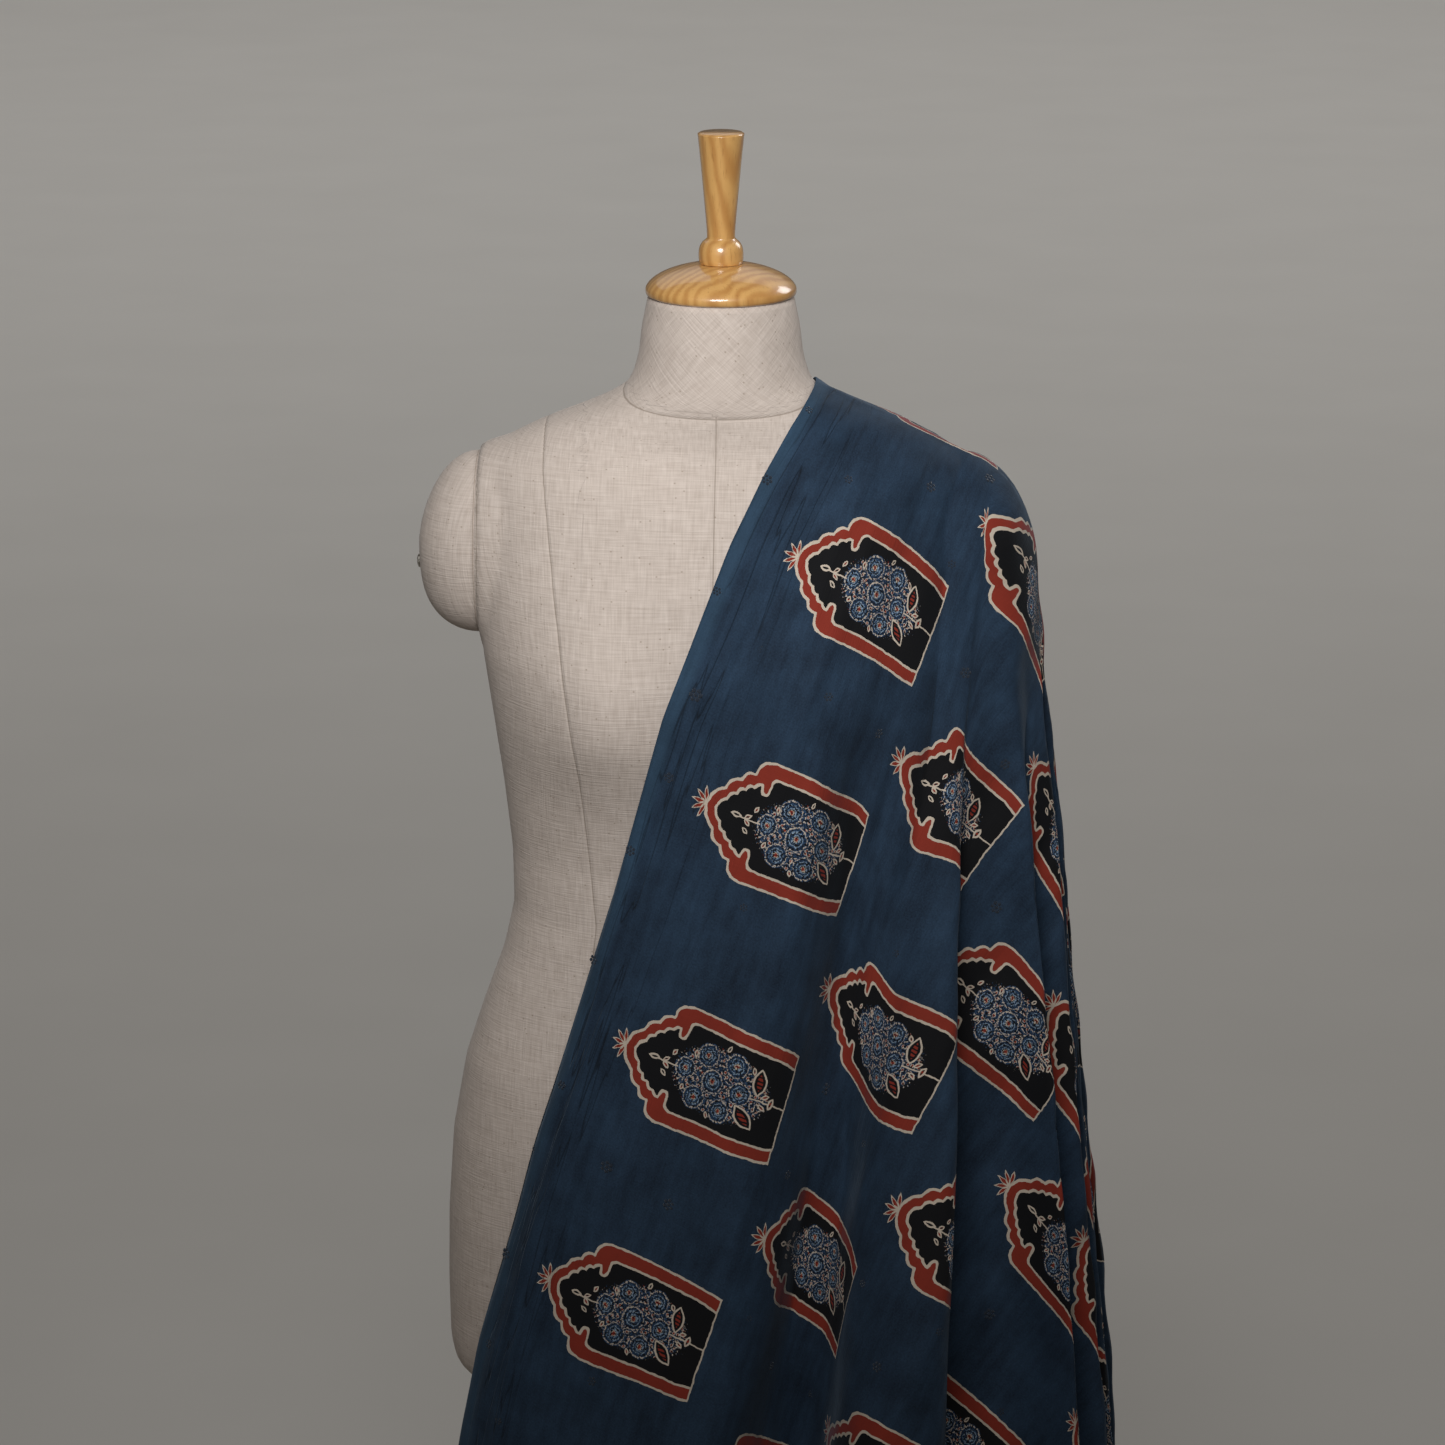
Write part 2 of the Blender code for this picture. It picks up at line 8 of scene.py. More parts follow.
import bpy
import numpy as np
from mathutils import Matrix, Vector


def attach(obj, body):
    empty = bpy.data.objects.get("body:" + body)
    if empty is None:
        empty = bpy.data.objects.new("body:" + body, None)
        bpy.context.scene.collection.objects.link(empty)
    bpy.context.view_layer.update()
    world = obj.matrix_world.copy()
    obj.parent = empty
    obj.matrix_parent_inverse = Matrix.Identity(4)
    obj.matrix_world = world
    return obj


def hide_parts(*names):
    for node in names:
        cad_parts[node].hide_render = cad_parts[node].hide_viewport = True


bl_info = {
    "name": "Ajrakh Cloth on a Dress Form",
    "version": (1, 0, 0),
    "blender": (4, 5, 0),
    "location": "View3D > Sidebar > Drape",
    "description": "Makes a block printed cotton length draped over one shoulder of a linen form",
    "category": "Object",
}

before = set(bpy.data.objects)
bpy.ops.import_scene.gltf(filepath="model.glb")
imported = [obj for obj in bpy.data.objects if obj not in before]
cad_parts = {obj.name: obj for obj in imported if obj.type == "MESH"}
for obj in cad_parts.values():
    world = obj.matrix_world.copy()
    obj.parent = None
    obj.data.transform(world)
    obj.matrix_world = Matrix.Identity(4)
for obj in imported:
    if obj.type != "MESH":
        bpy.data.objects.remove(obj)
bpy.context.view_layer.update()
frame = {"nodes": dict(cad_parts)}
ROOT = "root"
MM = 1000.0                 # millimetres in a metre

# Driving sizes of the cloth, as in the CAD
CLOTH_LENGTH = 1.90         # along the warp, half in front and half behind
CLOTH_WIDTH = 1.10          # selvedge to selvedge
NECK_X = 0.070              # inner selvedge, beside the neck
ARM_END_X = 0.198           # where the shoulder turns down over the arm cap
SHOULDER_WIDTH = 0.185      # cloth between those two places
CAP_REACH = 0.020           # how much further the fall lines start, going round the arm
CAP_WIDTH = 0.036           # cloth along that stretch, down over the end of the arm cap
FALL_ANGLE = math.radians(22.0)     # a fall line from the arm end, against the warp
REF_HEIGHT = 0.66           # height at which the fold tables are given
ARM_BASE_X = 0.170          # the folds beyond this X spread round the arm
PANEL_RUN = CLOTH_LENGTH * 0.4474       # inner selvedge from the ridge to REF_HEIGHT
FOLD_START = 0.08           # share of the drop where folds begin
FOLD_FULL = 0.42
FOLD_SPREAD_BELOW = 0.10    # how fast folds still widen below REF_HEIGHT
FOLD_DRIFT = 0.075          # how far along the cloth a fold starts from where it ends up
DRIFT_END = 0.80            # share of the drop where a fold has got there
DRIFT_PLACES = (0.15, 0.36, 0.75, 0.95)     # where along the cloth that begins, holds and ends
SIDE_SWELL = 0.007          # how far the cloth stands out below the arm
SWELL_END = 0.50            # share of the drop where that is over
SWELL_LEAN = 0.65           # below 1 it stands out most near the top
SWELL_ROOM = 0.25           # clear of the arm's line by this much, it stands out in full
FOLD_ROUNDING = 0.0085      # width of the mean that rounds each fold, as a share of the plan
FALL_ROUNDING = 0.055       # width of the mean that takes the folds out

# How finely the fall lines are worked out
CURVE_STEPS = 24            # points between two folds of a plan
EVEN_STEPS = 900            # points on each plan curve
RIDGE_STEPS = 90            # points along the shoulder's ridge
LEVELS = 130                # heights on each fall line
LEVEL_PACKING = 1.6         # how much closer they are near the shoulder
DROP_PACKING = 1.2          # the same for the rows of the cloth's own mesh
DEEPEST = 2.0               # last height, in drops from the shoulder to REF_HEIGHT
SLOPE_LEVELS = 6            # levels above REF_HEIGHT that give the slope carried on below
REACH_LIMIT = 0.40          # furthest the form can stand from its middle
REACH_ROUNDS = 22           # halvings that find the form's surface
CORNER_ROUNDS = 8           # rounds that find the fall line at the cut cloth's corner

# Folds at REF_HEIGHT, from the inner selvedge to the middle of the side: name, x, y
FRONT_FOLDS = (
    ("selvedge", -0.190, -0.106),
    ("edge roll", -0.158, -0.142),
    ("panel", -0.075, -0.168),
    ("panel crest", 0.012, -0.182),
    ("first hollow", 0.064, -0.106),
    ("broad crest", 0.112, -0.208),
    ("pleat lip", 0.178, -0.214),
    ("pleat return", 0.152, -0.134),
    ("second hollow", 0.222, -0.098),
    ("corner crest", 0.284, -0.134),
    ("corner return", 0.230, -0.074),
    ("side crest", 0.305, -0.062),
    ("side hollow", 0.214, -0.042),
    ("third crest", 0.308, -0.026),
    ("third hollow", 0.216, -0.008),
    ("fourth crest", 0.306, 0.006),
    ("middle", 0.250, 0.024),
)
BACK_FOLDS = (
    ("selvedge", -0.182, 0.152),
    ("panel", -0.110, 0.182),
    ("panel crest", -0.030, 0.192),
    ("first hollow", 0.016, 0.142),
    ("broad crest", 0.074, 0.214),
    ("second hollow", 0.116, 0.142),
    ("corner crest", 0.168, 0.222),
    ("third hollow", 0.182, 0.134),
    ("corner return", 0.256, 0.190),
    ("fourth hollow", 0.212, 0.108),
    ("side crest", 0.306, 0.136),
    ("side hollow", 0.216, 0.086),
    ("fifth crest", 0.310, 0.092),
    ("fifth hollow", 0.216, 0.056),
    ("back crest", 0.306, 0.050),
    ("middle", 0.250, 0.024),
)
# Way across made by the inner selvedge at each share of the drop: drop, across
SELVEDGE_SWEEP = (
    (0.00, 0.000), (0.03, 0.062), (0.07, 0.132), (0.13, 0.222), (0.28, 0.400),
    (0.45, 0.543), (0.70, 0.778), (0.90, 0.945), (1.00, 1.000), (2.00, 1.420),
)
# Torso of the form: height, half width, front depth, back depth, roundness
TORSO_SECTIONS = (
    (0.6800, 0.1860, 0.1000, 0.1100, 2.30),
    (0.6840, 0.1970, 0.1080, 0.1180, 2.30),
    (0.6940, 0.2050, 0.1130, 0.1240, 2.30),
    (0.7120, 0.2085, 0.1160, 0.1270, 2.30),
    (0.7600, 0.2093, 0.1200, 0.1320, 2.30),
    (0.8150, 0.2084, 0.1220, 0.1360, 2.30),
    (0.8790, 0.2041, 0.1200, 0.1320, 2.30),
    (0.9370, 0.1937, 0.1140, 0.1200, 2.30),
    (0.9800, 0.1796, 0.1080, 0.1090, 2.20),
    (1.0230, 0.1641, 0.1020, 0.1000, 2.20),
    (1.0580, 0.1563, 0.0990, 0.0970, 2.20),
    (1.1020, 0.1571, 0.1000, 0.0980, 2.20),
    (1.1540, 0.1628, 0.1050, 0.1030, 2.30),
    (1.2050, 0.1698, 0.1100, 0.1080, 2.40),
    (1.2570, 0.1774, 0.1080, 0.1120, 2.50),
    (1.3100, 0.1795, 0.1000, 0.1120, 2.60),
    (1.3600, 0.1805, 0.0860, 0.1060, 2.60),
    (1.3865, 0.1812, 0.0760, 0.0960, 2.50),
    (1.3995, 0.1792, 0.0690, 0.0890, 2.30),
    (1.4066, 0.1704, 0.0650, 0.0850, 2.15),
    (1.4140, 0.1600, 0.0620, 0.0810, 2.00),
    (1.4270, 0.1338, 0.0600, 0.0760, 2.00),
    (1.4370, 0.1070, 0.0590, 0.0720, 2.00),
    (1.4464, 0.0840, 0.0590, 0.0690, 2.00),
    (1.4555, 0.0700, 0.0590, 0.0660, 2.00),
    (1.4640, 0.0648, 0.0580, 0.0620, 2.00),
    (1.4800, 0.0604, 0.0570, 0.0580, 2.00),
    (1.5000, 0.0583, 0.0555, 0.0560, 2.00),
    (1.5220, 0.0537, 0.0530, 0.0530, 2.00),
)
BUST_X = 0.082
BUST_Z = 1.235
BUST_SIZE = (0.062, 0.070)
BUST_DEPTH = 0.030
BUST_EDGE = 0.7             # share of the front depth where the mounds fade out
SHOULDER_FROM = 1.39        # lowest height of the shoulder's ridge
NECK_TOP = TORSO_SECTIONS[-1][0]

# Arm caps: padded domes that close the armholes
CAP_Y = 0.004
CAP_Z = 1.3335
CAP_HALF_HEIGHT = 0.0685
CAP_HALF_DEPTH = 0.052
CAP_ROOT_X = 0.150
CAP_SEAM_X = 0.181
CAP_BULGE = 0.0445
CAP_ROUND_TOP = 1.20
CAP_ROUND_BOTTOM = 0.66
CAP_SIDES = 96
CAP_RINGS = 34
CAP_ROOT_RINGS = 4          # the first of them, inside the torso
CAP_CLOSED = 0.995          # share of the dome where its last ring lies
CAP_GRAIN = (0.6, 0.9)      # how the linen's grain counts the way across and the way out

# Turned wood: radius and height, bottom first
GAP = 0.0003                # between pieces that touch
NECK_CAP_OUTLINE = (
    (0.0530, NECK_TOP + GAP), (0.0552, 1.5236), (0.0558, 1.5262), (0.0550, 1.5292),
    (0.0515, 1.5333), (0.0450, 1.5376), (0.0360, 1.5413), (0.0260, 1.5440), (0.0180, 1.5455),
)
FINIAL_BOTTOM = NECK_CAP_OUTLINE[-1][1] + GAP
FINIAL_OUTLINE = (
    (0.0156, FINIAL_BOTTOM), (0.0164, 1.5486), (0.0166, 1.5520), (0.0164, 1.5552),
    (0.0155, 1.5588), (0.0136, 1.5618), (0.0111, 1.5640), (0.0104, 1.5665),
    (0.0112, 1.5790), (0.0150, 1.6200), (0.0170, 1.6395), (0.0168, 1.6415), (0.0158, 1.6425),
)
TURNED_STEPS = 5            # points between two of an outline

# The torso's surface in the scene: its sections are evened out up and down it
FINE_STEP = 0.001           # height between two sections that are evened out
EVEN_REACH = 10             # steps taken in on either side
EVEN_WIDTH = 3.5            # steps, width of the mean

# Seams of the linen
SEAMS = ("centre_seam", "princess_seam", "side_seam", "neck_seam", "armhole_seam")
# Princess seam: height, distance from the middle
PRINCESS_SEAM = (
    (0.68, 0.108), (0.85, 0.112), (1.06, 0.088), (1.18, 0.098), (1.24, 0.106),
    (1.32, 0.118), (1.40, 0.128), (1.45, 0.130),
)
NECK_SEAM_FRONT = 1.4405
NECK_SEAM_SIDE = 1.4560
NECK_SEAM_BACK = 1.4580
NECK_SEAM_BEND = 1.3        # above 1 it bends more at the front and the back
BODY_SEAM_END = 0.004       # the body's seams end this far above the neck's
SIDE_SEAM_FROM = 0.10       # the side seams lie further out than this
ARMHOLE_X = 0.1800          # flat side of the bare armhole, out from the middle
ARMHOLE_FLAT = (1.03, 1.20)     # the flat fades out between these sizes of the cap's section
ARMHOLE_SEAM = 1.06         # size of that section which the seam follows
ARMHOLE_METRES = 0.06       # metres for one such size
CAP_SEAM_SET = 0.0006       # the seam lies this far outside the armhole's flat
NO_SEAM = 0.02              # distance that stands for no seam near
SEAM_DEPTH = 0.0007
SEAM_WIDTH = 0.0030

# Soft unevenness of worn cotton: heights in metres
EDGE_WAVE = 0.0011          # waves down the warp beside the inner selvedge
EDGE_REACH = 0.11           # how far across the cloth they go
LONG_WAVE = 0.0008          # long waves over the whole cloth
DENT = 0.0010               # soft dents between them
DENT_LIMIT = 0.0009         # no dent is deeper, so that the cloth clears the form
RIDGE_CALM = (0.015, 0.12)  # dents begin and are full this far from the shoulder's ridge
SIDE_CALM = 0.02            # share of the columns that run smooth into the other half
CREASE_ENDS = (0.02, 0.98)  # shares of a crease beyond which its height is held
# Creases pressed in by folding, and three broad soft crests last: start and end on the cut
# cloth, height, half width
CREASES = (
    ((0.335, 0.222), (0.362, 0.345), 0.0020, 0.0028),
    ((0.335, 0.236), (0.352, 0.335), -0.0016, 0.0050),
    ((0.400, 0.520), (0.450, 0.610), 0.0018, 0.0030),
    ((0.330, 0.0155), (0.425, 0.030), 0.0024, 0.0036),
    ((0.330, 0.0255), (0.425, 0.041), -0.0016, 0.0040),
    ((0.060, 0.045), (0.330, 0.030), -0.0012, 0.0030),
    ((0.080, 0.060), (0.420, 0.072), 0.0013, 0.0040),
    ((0.440, 0.130), (0.840, 0.235), 0.0075, 0.0180),
    ((0.430, 0.285), (0.800, 0.440), 0.0035, 0.0220),
    ((0.120, 0.205), (0.420, 0.255), 0.0040, 0.0130),
)

# Layout of the block print
ROW_PITCH = 0.1935          # motif to motif along the warp
ROW_START = -0.0430         # a motif's axis in the first column, from the shoulder's ridge
COLUMN_PITCH = 0.1570       # column to column across, every other one half a row lower
COLUMNS = 6
TIP_START = 0.0570          # tip of the first column from the inner selvedge
TIP_ROOM = 0.0138           # cloth before a tip, which holds its small lotus

# One motif, in millimetres
MOTIF_LENGTH = 140.0
MOTIF_HALF_WIDTH = 46.0
KNOT_ROOM = 8.0             # yarn knots keep this far from a motif's side
LINE = 1.7                  # cream line of the resist
BASE_LINE = 1.3             # the same across the motif's base
EDGE_LOW = -10.0            # least half width held by an edge curve
EDGE_SPAN = 70.0            # the most that it holds above that
SCALLOP_STEPS = 6           # points along one scallop
# Cusped edge of the niche: distance from the tip, half width, bulge of the scallop before it
OUTER_EDGE = (
    (0.0, 0.0, 0.0), (11.0, 16.4, 2.8), (21.0, 26.0, 2.8), (31.0, 33.6, 2.8), (31.8, 38.5, 0.0),
    (34.5, 43.0, 0.5), (38.5, 45.4, 0.3), (44.0, 46.4, 0.0), (62.0, 46.0, 0.0),
    (132.0, 43.4, 0.0), (140.0, 41.8, 0.0),
)
INNER_EDGE = (
    (8.5, -1.0, 0.0), (15.0, 9.0, 1.9), (21.0, 15.5, 1.9), (27.0, 20.2, 1.9), (33.0, 24.6, 1.9),
    (38.6, 28.2, 1.0), (39.1, 26.8, 0.0), (39.5, 23.8, 0.0), (40.6, 22.0, 0.0), (42.4, 21.4, 0.0),
    (44.2, 22.0, 0.0), (45.3, 23.8, 0.0), (45.7, 30.5, 0.0), (47.2, 34.0, 0.3),
    (51.0, 35.4, 0.3), (128.0, 33.6, 0.0), (140.0, 31.4, 0.0),
)
# Roses of the bouquet: distance from the tip, distance from the axis, radius
ROSES = (
    (52.0, 1.5, 8.8), (67.0, 17.0, 9.6), (92.0, 18.5, 9.8), (76.5, -0.5, 9.8),
    (65.5, -17.0, 9.4), (100.5, -0.5, 9.4), (89.0, -19.0, 9.4),
)
# Leaves and buds: from the tip, from the axis, turn in degrees, half length, half width, red
LEAVES = (
    ("tip leaf", 25.5, 0.6, 4.0, 5.0, 2.3, 0),
    ("bud above", 35.5, 2.3, 35.0, 3.4, 1.8, 1),
    ("bud below", 36.0, -2.3, -35.0, 3.4, 1.8, 1),
    ("side bud above", 40.5, 9.5, 62.0, 3.0, 1.7, 1),
    ("side leaf below", 36.0, -8.5, -30.0, 3.4, 1.7, 0),
    ("fringe above", 82.0, 28.0, 70.0, 3.0, 1.5, 0),
    ("fringe middle", 57.0, 15.0, 100.0, 2.8, 1.7, 1),
    ("fringe right", 105.5, 20.0, 120.0, 3.0, 1.7, 1),
    ("fringe below", 54.0, -13.5, 70.0, 2.8, 1.7, 1),
    ("fringe low", 80.0, -26.0, 110.0, 2.8, 1.6, 1),
    ("great leaf above", 112.0, 13.0, 96.0, 10.5, 5.6, 1),
    ("great leaf below", 108.0, -16.0, 140.0, 11.0, 5.6, 1),
    ("root bud", 125.0, 0.5, 75.0, 4.8, 2.4, 1),
    ("root leaf above", 119.5, 4.0, 30.0, 3.6, 1.7, 1),
    ("root leaf below", 119.0, -4.5, -30.0, 3.6, 1.7, 1),
)
BOUQUET_CENTRE = (83.0, 0.0)
BOUQUET_SIZE = (38.5, 25.0)
ROSE_EDGE = 10.0            # distances from a rose are scaled so that its rim comes out here
BUD_PITCH = 5.2             # from one small bud to the next
CURL_PITCH = 4.6            # from one curl to the next
LEAF_CORE = 0.62            # depth in a leaf where its red begins, 1 on the midrib
LEAF_LINE = 1.5             # cream round the dark heart of a wide leaf
# Stem of the sprig: from and to, down from the tip
STEM_PARTS = ((29.0, 46.0), (108.0, MOTIF_LENGTH))
STEM_HALF_WIDTH = 0.55
# Small lotus on the outside of the tip
PETAL_TURN = math.radians(18)       # half the turn of one of its five petals
PETAL_ROOT = 5.0            # reach between two petals
PETAL_POINT = 8.0           # how much further a petal's point reaches
PETAL_LINE = 1.9            # cream outside a petal's red
PETAL_GAP = 0.7             # cream between two petals, half of it
LOTUS_SPREAD = math.radians(88)     # how far round the petals open, either way

# Colours that stay as they are, sRGB hex
SELVEDGE_BLUE = "44657f"
NAP_BLUE = "8fa3b8"
YARN_DEEP = "080d14"
YARN_LIGHT = "1f3044"
PORE_BROWN = "9a6833"
ENAMEL_WORN = "3a3a3d"
NICKEL_SMEARED = "a9a49b"
FLOOR_MOTTLED = "d2cfca"
ROOM_LIGHT = "efe8de"

KNOT_DENSITY = 1400.0       # knots tried for each square metre, before the spacing thins them
KNOT_SEED = 11
FLOOR_HALF = 40.0           # half the side of the stage's floor

# Camera of the photograph
CAMERA_TARGET = (0.0, 0.0, 1.197)
CAMERA_DISTANCE = 4.2
CAMERA_PITCH = math.radians(14.8)
CAMERA_TURN = math.radians(3.5)
CAMERA_ASIDE = 0.0011       # how far it stands to its own right
SENSOR_WIDTH = 36.0
PHOTO_SIDE = 1445.0
FOCAL_LENGTH = 5600.0       # in the photograph's own pixels
CAMERA_LENS = SENSOR_WIDTH * FOCAL_LENGTH / PHOTO_SIDE
# Soft boxes: name, share of the key's power, size, spread in degrees, place, point aimed at
LIGHTS = (
    ("key", 1.0, 0.7, 52.0, (0.0, -1.50, 2.30), (0.0, 0.0, 1.40)),
    ("side", 0.4, 0.9, 52.0, (1.5, 1.3, 2.4), (0.0, 0.0, 1.40)),
    ("floor", 120.0, 14.0, 150.0, (0.0, 11.0, 7.0), (0.0, 11.0, 0.0)),
)


def linear(code):
    """Linear colour, with alpha, of an sRGB hex code."""
    parts = [int(code[i:i + 2], 16) / 255 for i in (0, 2, 4)]
    return (*[p / 12.92 if p <= 0.04045 else ((p + 0.055) / 1.055) ** 2.4 for p in parts], 1.0)


def put(tree, kind, *values, inputs=(), **settings):
    """Adds one node with its settings, and sets or links its inputs in order or by name."""
    node = tree.nodes.new(kind)
    for key, value in settings.items():
        setattr(node, key, value)
    for key, value in [*enumerate(values), *dict(inputs).items()]:
        if isinstance(value, bpy.types.Node):
            value = value.outputs[0]
        if isinstance(value, bpy.types.NodeSocket):
            tree.links.new(value, node.inputs[key])
        else:
            node.inputs[key].default_value = value
    return node


MATHS = "ShaderNodeMath"
VECTOR = "ShaderNodeVectorMath"
MIX = "ShaderNodeMix"
NOISE = "ShaderNodeTexNoise"
RANGE = "ShaderNodeMapRange"


def new_material(name):
    """An empty node material and its tree."""
    finish = bpy.data.materials.new(name)
    finish.use_nodes = True
    finish.node_tree.nodes.clear()
    return finish, finish.node_tree


def close_material(tree, colour, roughness, bump=None, **sockets):
    """Principled shader with its constants on its own sockets, into the output."""
    inputs = {"Base Color": colour, "Roughness": roughness, **{
        key.replace("_", " "): value for key, value in sockets.items()}}
    if bump is not None:
        inputs["Normal"] = bump
    shader = put(tree, "ShaderNodeBsdfPrincipled", inputs=inputs)
    put(tree, "ShaderNodeOutputMaterial", shader)


def joined(tree, operation, values):
    """One value from many: each is taken in after the one before it."""
    total, *rest = values
    for value in rest:
        total = put(tree, MATHS, total, value, operation=operation)
    return total


# The form's shape
def torso_section(z):
    """Half width, front depth, back depth and roundness of the torso at a height."""
    table = np.array(TORSO_SECTIONS)
    return [np.interp(z, table[:, 0], table[:, k]) for k in range(1, 5)]


def bust(x, z):
    """How far the two bust mounds stand forward of the plain section."""
    out = 0.0
    for side in (-1, 1):
        away = ((x - side * BUST_X) / BUST_SIZE[0]) ** 2 + ((z - BUST_Z) / BUST_SIZE[1]) ** 2
        out = out + BUST_DEPTH * np.exp(-away)
    return out


def cap_sizes(rise):
    """Half depth and the heights above and below the middle at a share of the cap's bulge."""
    level = np.sqrt(np.clip(1 - rise ** 2, 1e-9, 1))
    high = level ** CAP_ROUND_TOP
    low = level ** CAP_ROUND_BOTTOM
    return (CAP_HALF_DEPTH * (high + low) / 2, CAP_HALF_HEIGHT * high, CAP_HALF_HEIGHT * low)


def in_torso(x, y, z):
    """True where a point lies inside the torso."""
    half_width, front, back, roundness = torso_section(z)
    depth = np.where(y > 0, back, front)
    level = np.clip(1 - (np.abs(x) / half_width) ** roundness, 0, None)
    reach = depth * level ** (1 / roundness) + np.where(y < 0, bust(x, z), 0.0)
    inside = (np.abs(x) < half_width) & (np.abs(y) < reach)
    return inside & (z > TORSO_SECTIONS[0][0]) & (z < NECK_TOP)


def in_arm_cap(x, y, z):
    """True where a point lies inside the arm cap on the cloth's side."""
    rise = np.clip((x - CAP_SEAM_X) / CAP_BULGE, 0, 1)
    deep, high, low = cap_sizes(rise)
    tall = np.where(z > CAP_Z, high, low)
    away = ((y - CAP_Y) / deep) ** 2 + ((z - CAP_Z) / tall) ** 2
    return (x > CAP_ROOT_X) & (x < CAP_SEAM_X + CAP_BULGE) & (away < 1)


def form_reach(base_x, direction_x, direction_y, z):
    """Distance from (base_x, 0) to the form's surface along a level direction."""
    low = np.zeros_like(base_x)
    high = np.full_like(base_x, REACH_LIMIT)
    for _ in range(REACH_ROUNDS):
        middle = (low + high) / 2
        x = base_x + middle * direction_x
        y = middle * direction_y
        inside = in_torso(x, y, z) | in_arm_cap(x, y, z)
        low = np.where(inside, middle, low)
        high = np.where(inside, high, middle)
    return low


def ridge_height(x):
    """Height of the shoulder's ridge, over torso and arm cap."""
    table = np.array(TORSO_SECTIONS)
    top = table[table[:, 0] > SHOULDER_FROM]
    torso = np.interp(-x, -top[:, 1], top[:, 0])
    rise = np.clip((x - CAP_SEAM_X) / CAP_BULGE, 0, 1)
    cap = CAP_Z + cap_sizes(rise)[1]
    return np.where(x < CAP_SEAM_X, np.maximum(torso, CAP_Z), cap)


# The cloth's shape
def smooth_step(low, high, value):
    """0 below low, 1 above high, and a smooth rise between."""
    share = np.clip((value - low) / (high - low), 0, 1)
    return share * share * (3 - 2 * share)


def smooth_curve(points, steps):
    """Points on a smooth curve through others, with steps from each one to the next."""
    points = np.array(points)
    padded = np.vstack([2 * points[0] - points[1], points, 2 * points[-1] - points[-2]])
    curve = []
    for k in range(len(points) - 1):
        p0, p1, p2, p3 = padded[k:k + 4]
        for t in np.linspace(0, 1, steps, endpoint=False):
            curve.append(0.5 * (2 * p1 + (p2 - p0) * t + (2 * p0 - 5 * p1 + 4 * p2 - p3) * t ** 2
                                + (3 * p1 - p0 - 3 * p2 + p3) * t ** 3))
    return np.array(curve + [points[-1]])


def curve_through(rows):
    """Evenly spaced points on a smooth plan curve through the fold rows."""
    plan = smooth_curve([(x, y) for _, x, y in rows], CURVE_STEPS)
    run = np.concatenate([[0], np.cumsum(np.hypot(*np.diff(plan, axis=0).T))])
    even = np.linspace(0, run[-1], EVEN_STEPS)
    return np.stack([np.interp(even, run, plan[:, k]) for k in (0, 1)], axis=1)


def evened(plan, width):
    """A plan curve evened out by a running mean along the cloth, width as a share of it."""
    reach = int(width * EVEN_STEPS)
    kernel = np.exp(-0.5 * (np.arange(-3 * reach, 3 * reach + 1) / reach) ** 2)
    kernel /= kernel.sum()
    ahead = 2 * plan[0] - plan[1:3 * reach + 1][::-1]
    behind = 2 * plan[-1] - plan[-3 * reach - 1:-1][::-1]
    padded = np.vstack([ahead, plan, behind])
    return np.stack([np.convolve(padded[:, k], kernel, "valid") for k in (0, 1)], axis=1)


def upper_hull(place, height):
    """The taut line over a profile: it spans the hollows and touches what stands out."""
    kept = []
    for point in zip(place, height):
        while len(kept) > 1:
            (x0, h0), (x1, h1) = kept[-2], kept[-1]
            if (h1 - h0) * (point[0] - x0) > (point[1] - h0) * (x1 - x0):
                break
            kept.pop()
        kept.append(point)
    kept = np.array(kept)
    return np.interp(place, kept[:, 0], kept[:, 1])


def pattern_sizes():
    """Lengths of the panel and of the cone round the arm at REF_HEIGHT."""
    arm_drop = float(ridge_height(ARM_END_X)) - REF_HEIGHT
    panel = PANEL_RUN * math.sin(FALL_ANGLE) + SHOULDER_WIDTH * math.cos(FALL_ANGLE)
    return panel, arm_drop * (math.pi / 2 - FALL_ANGLE)


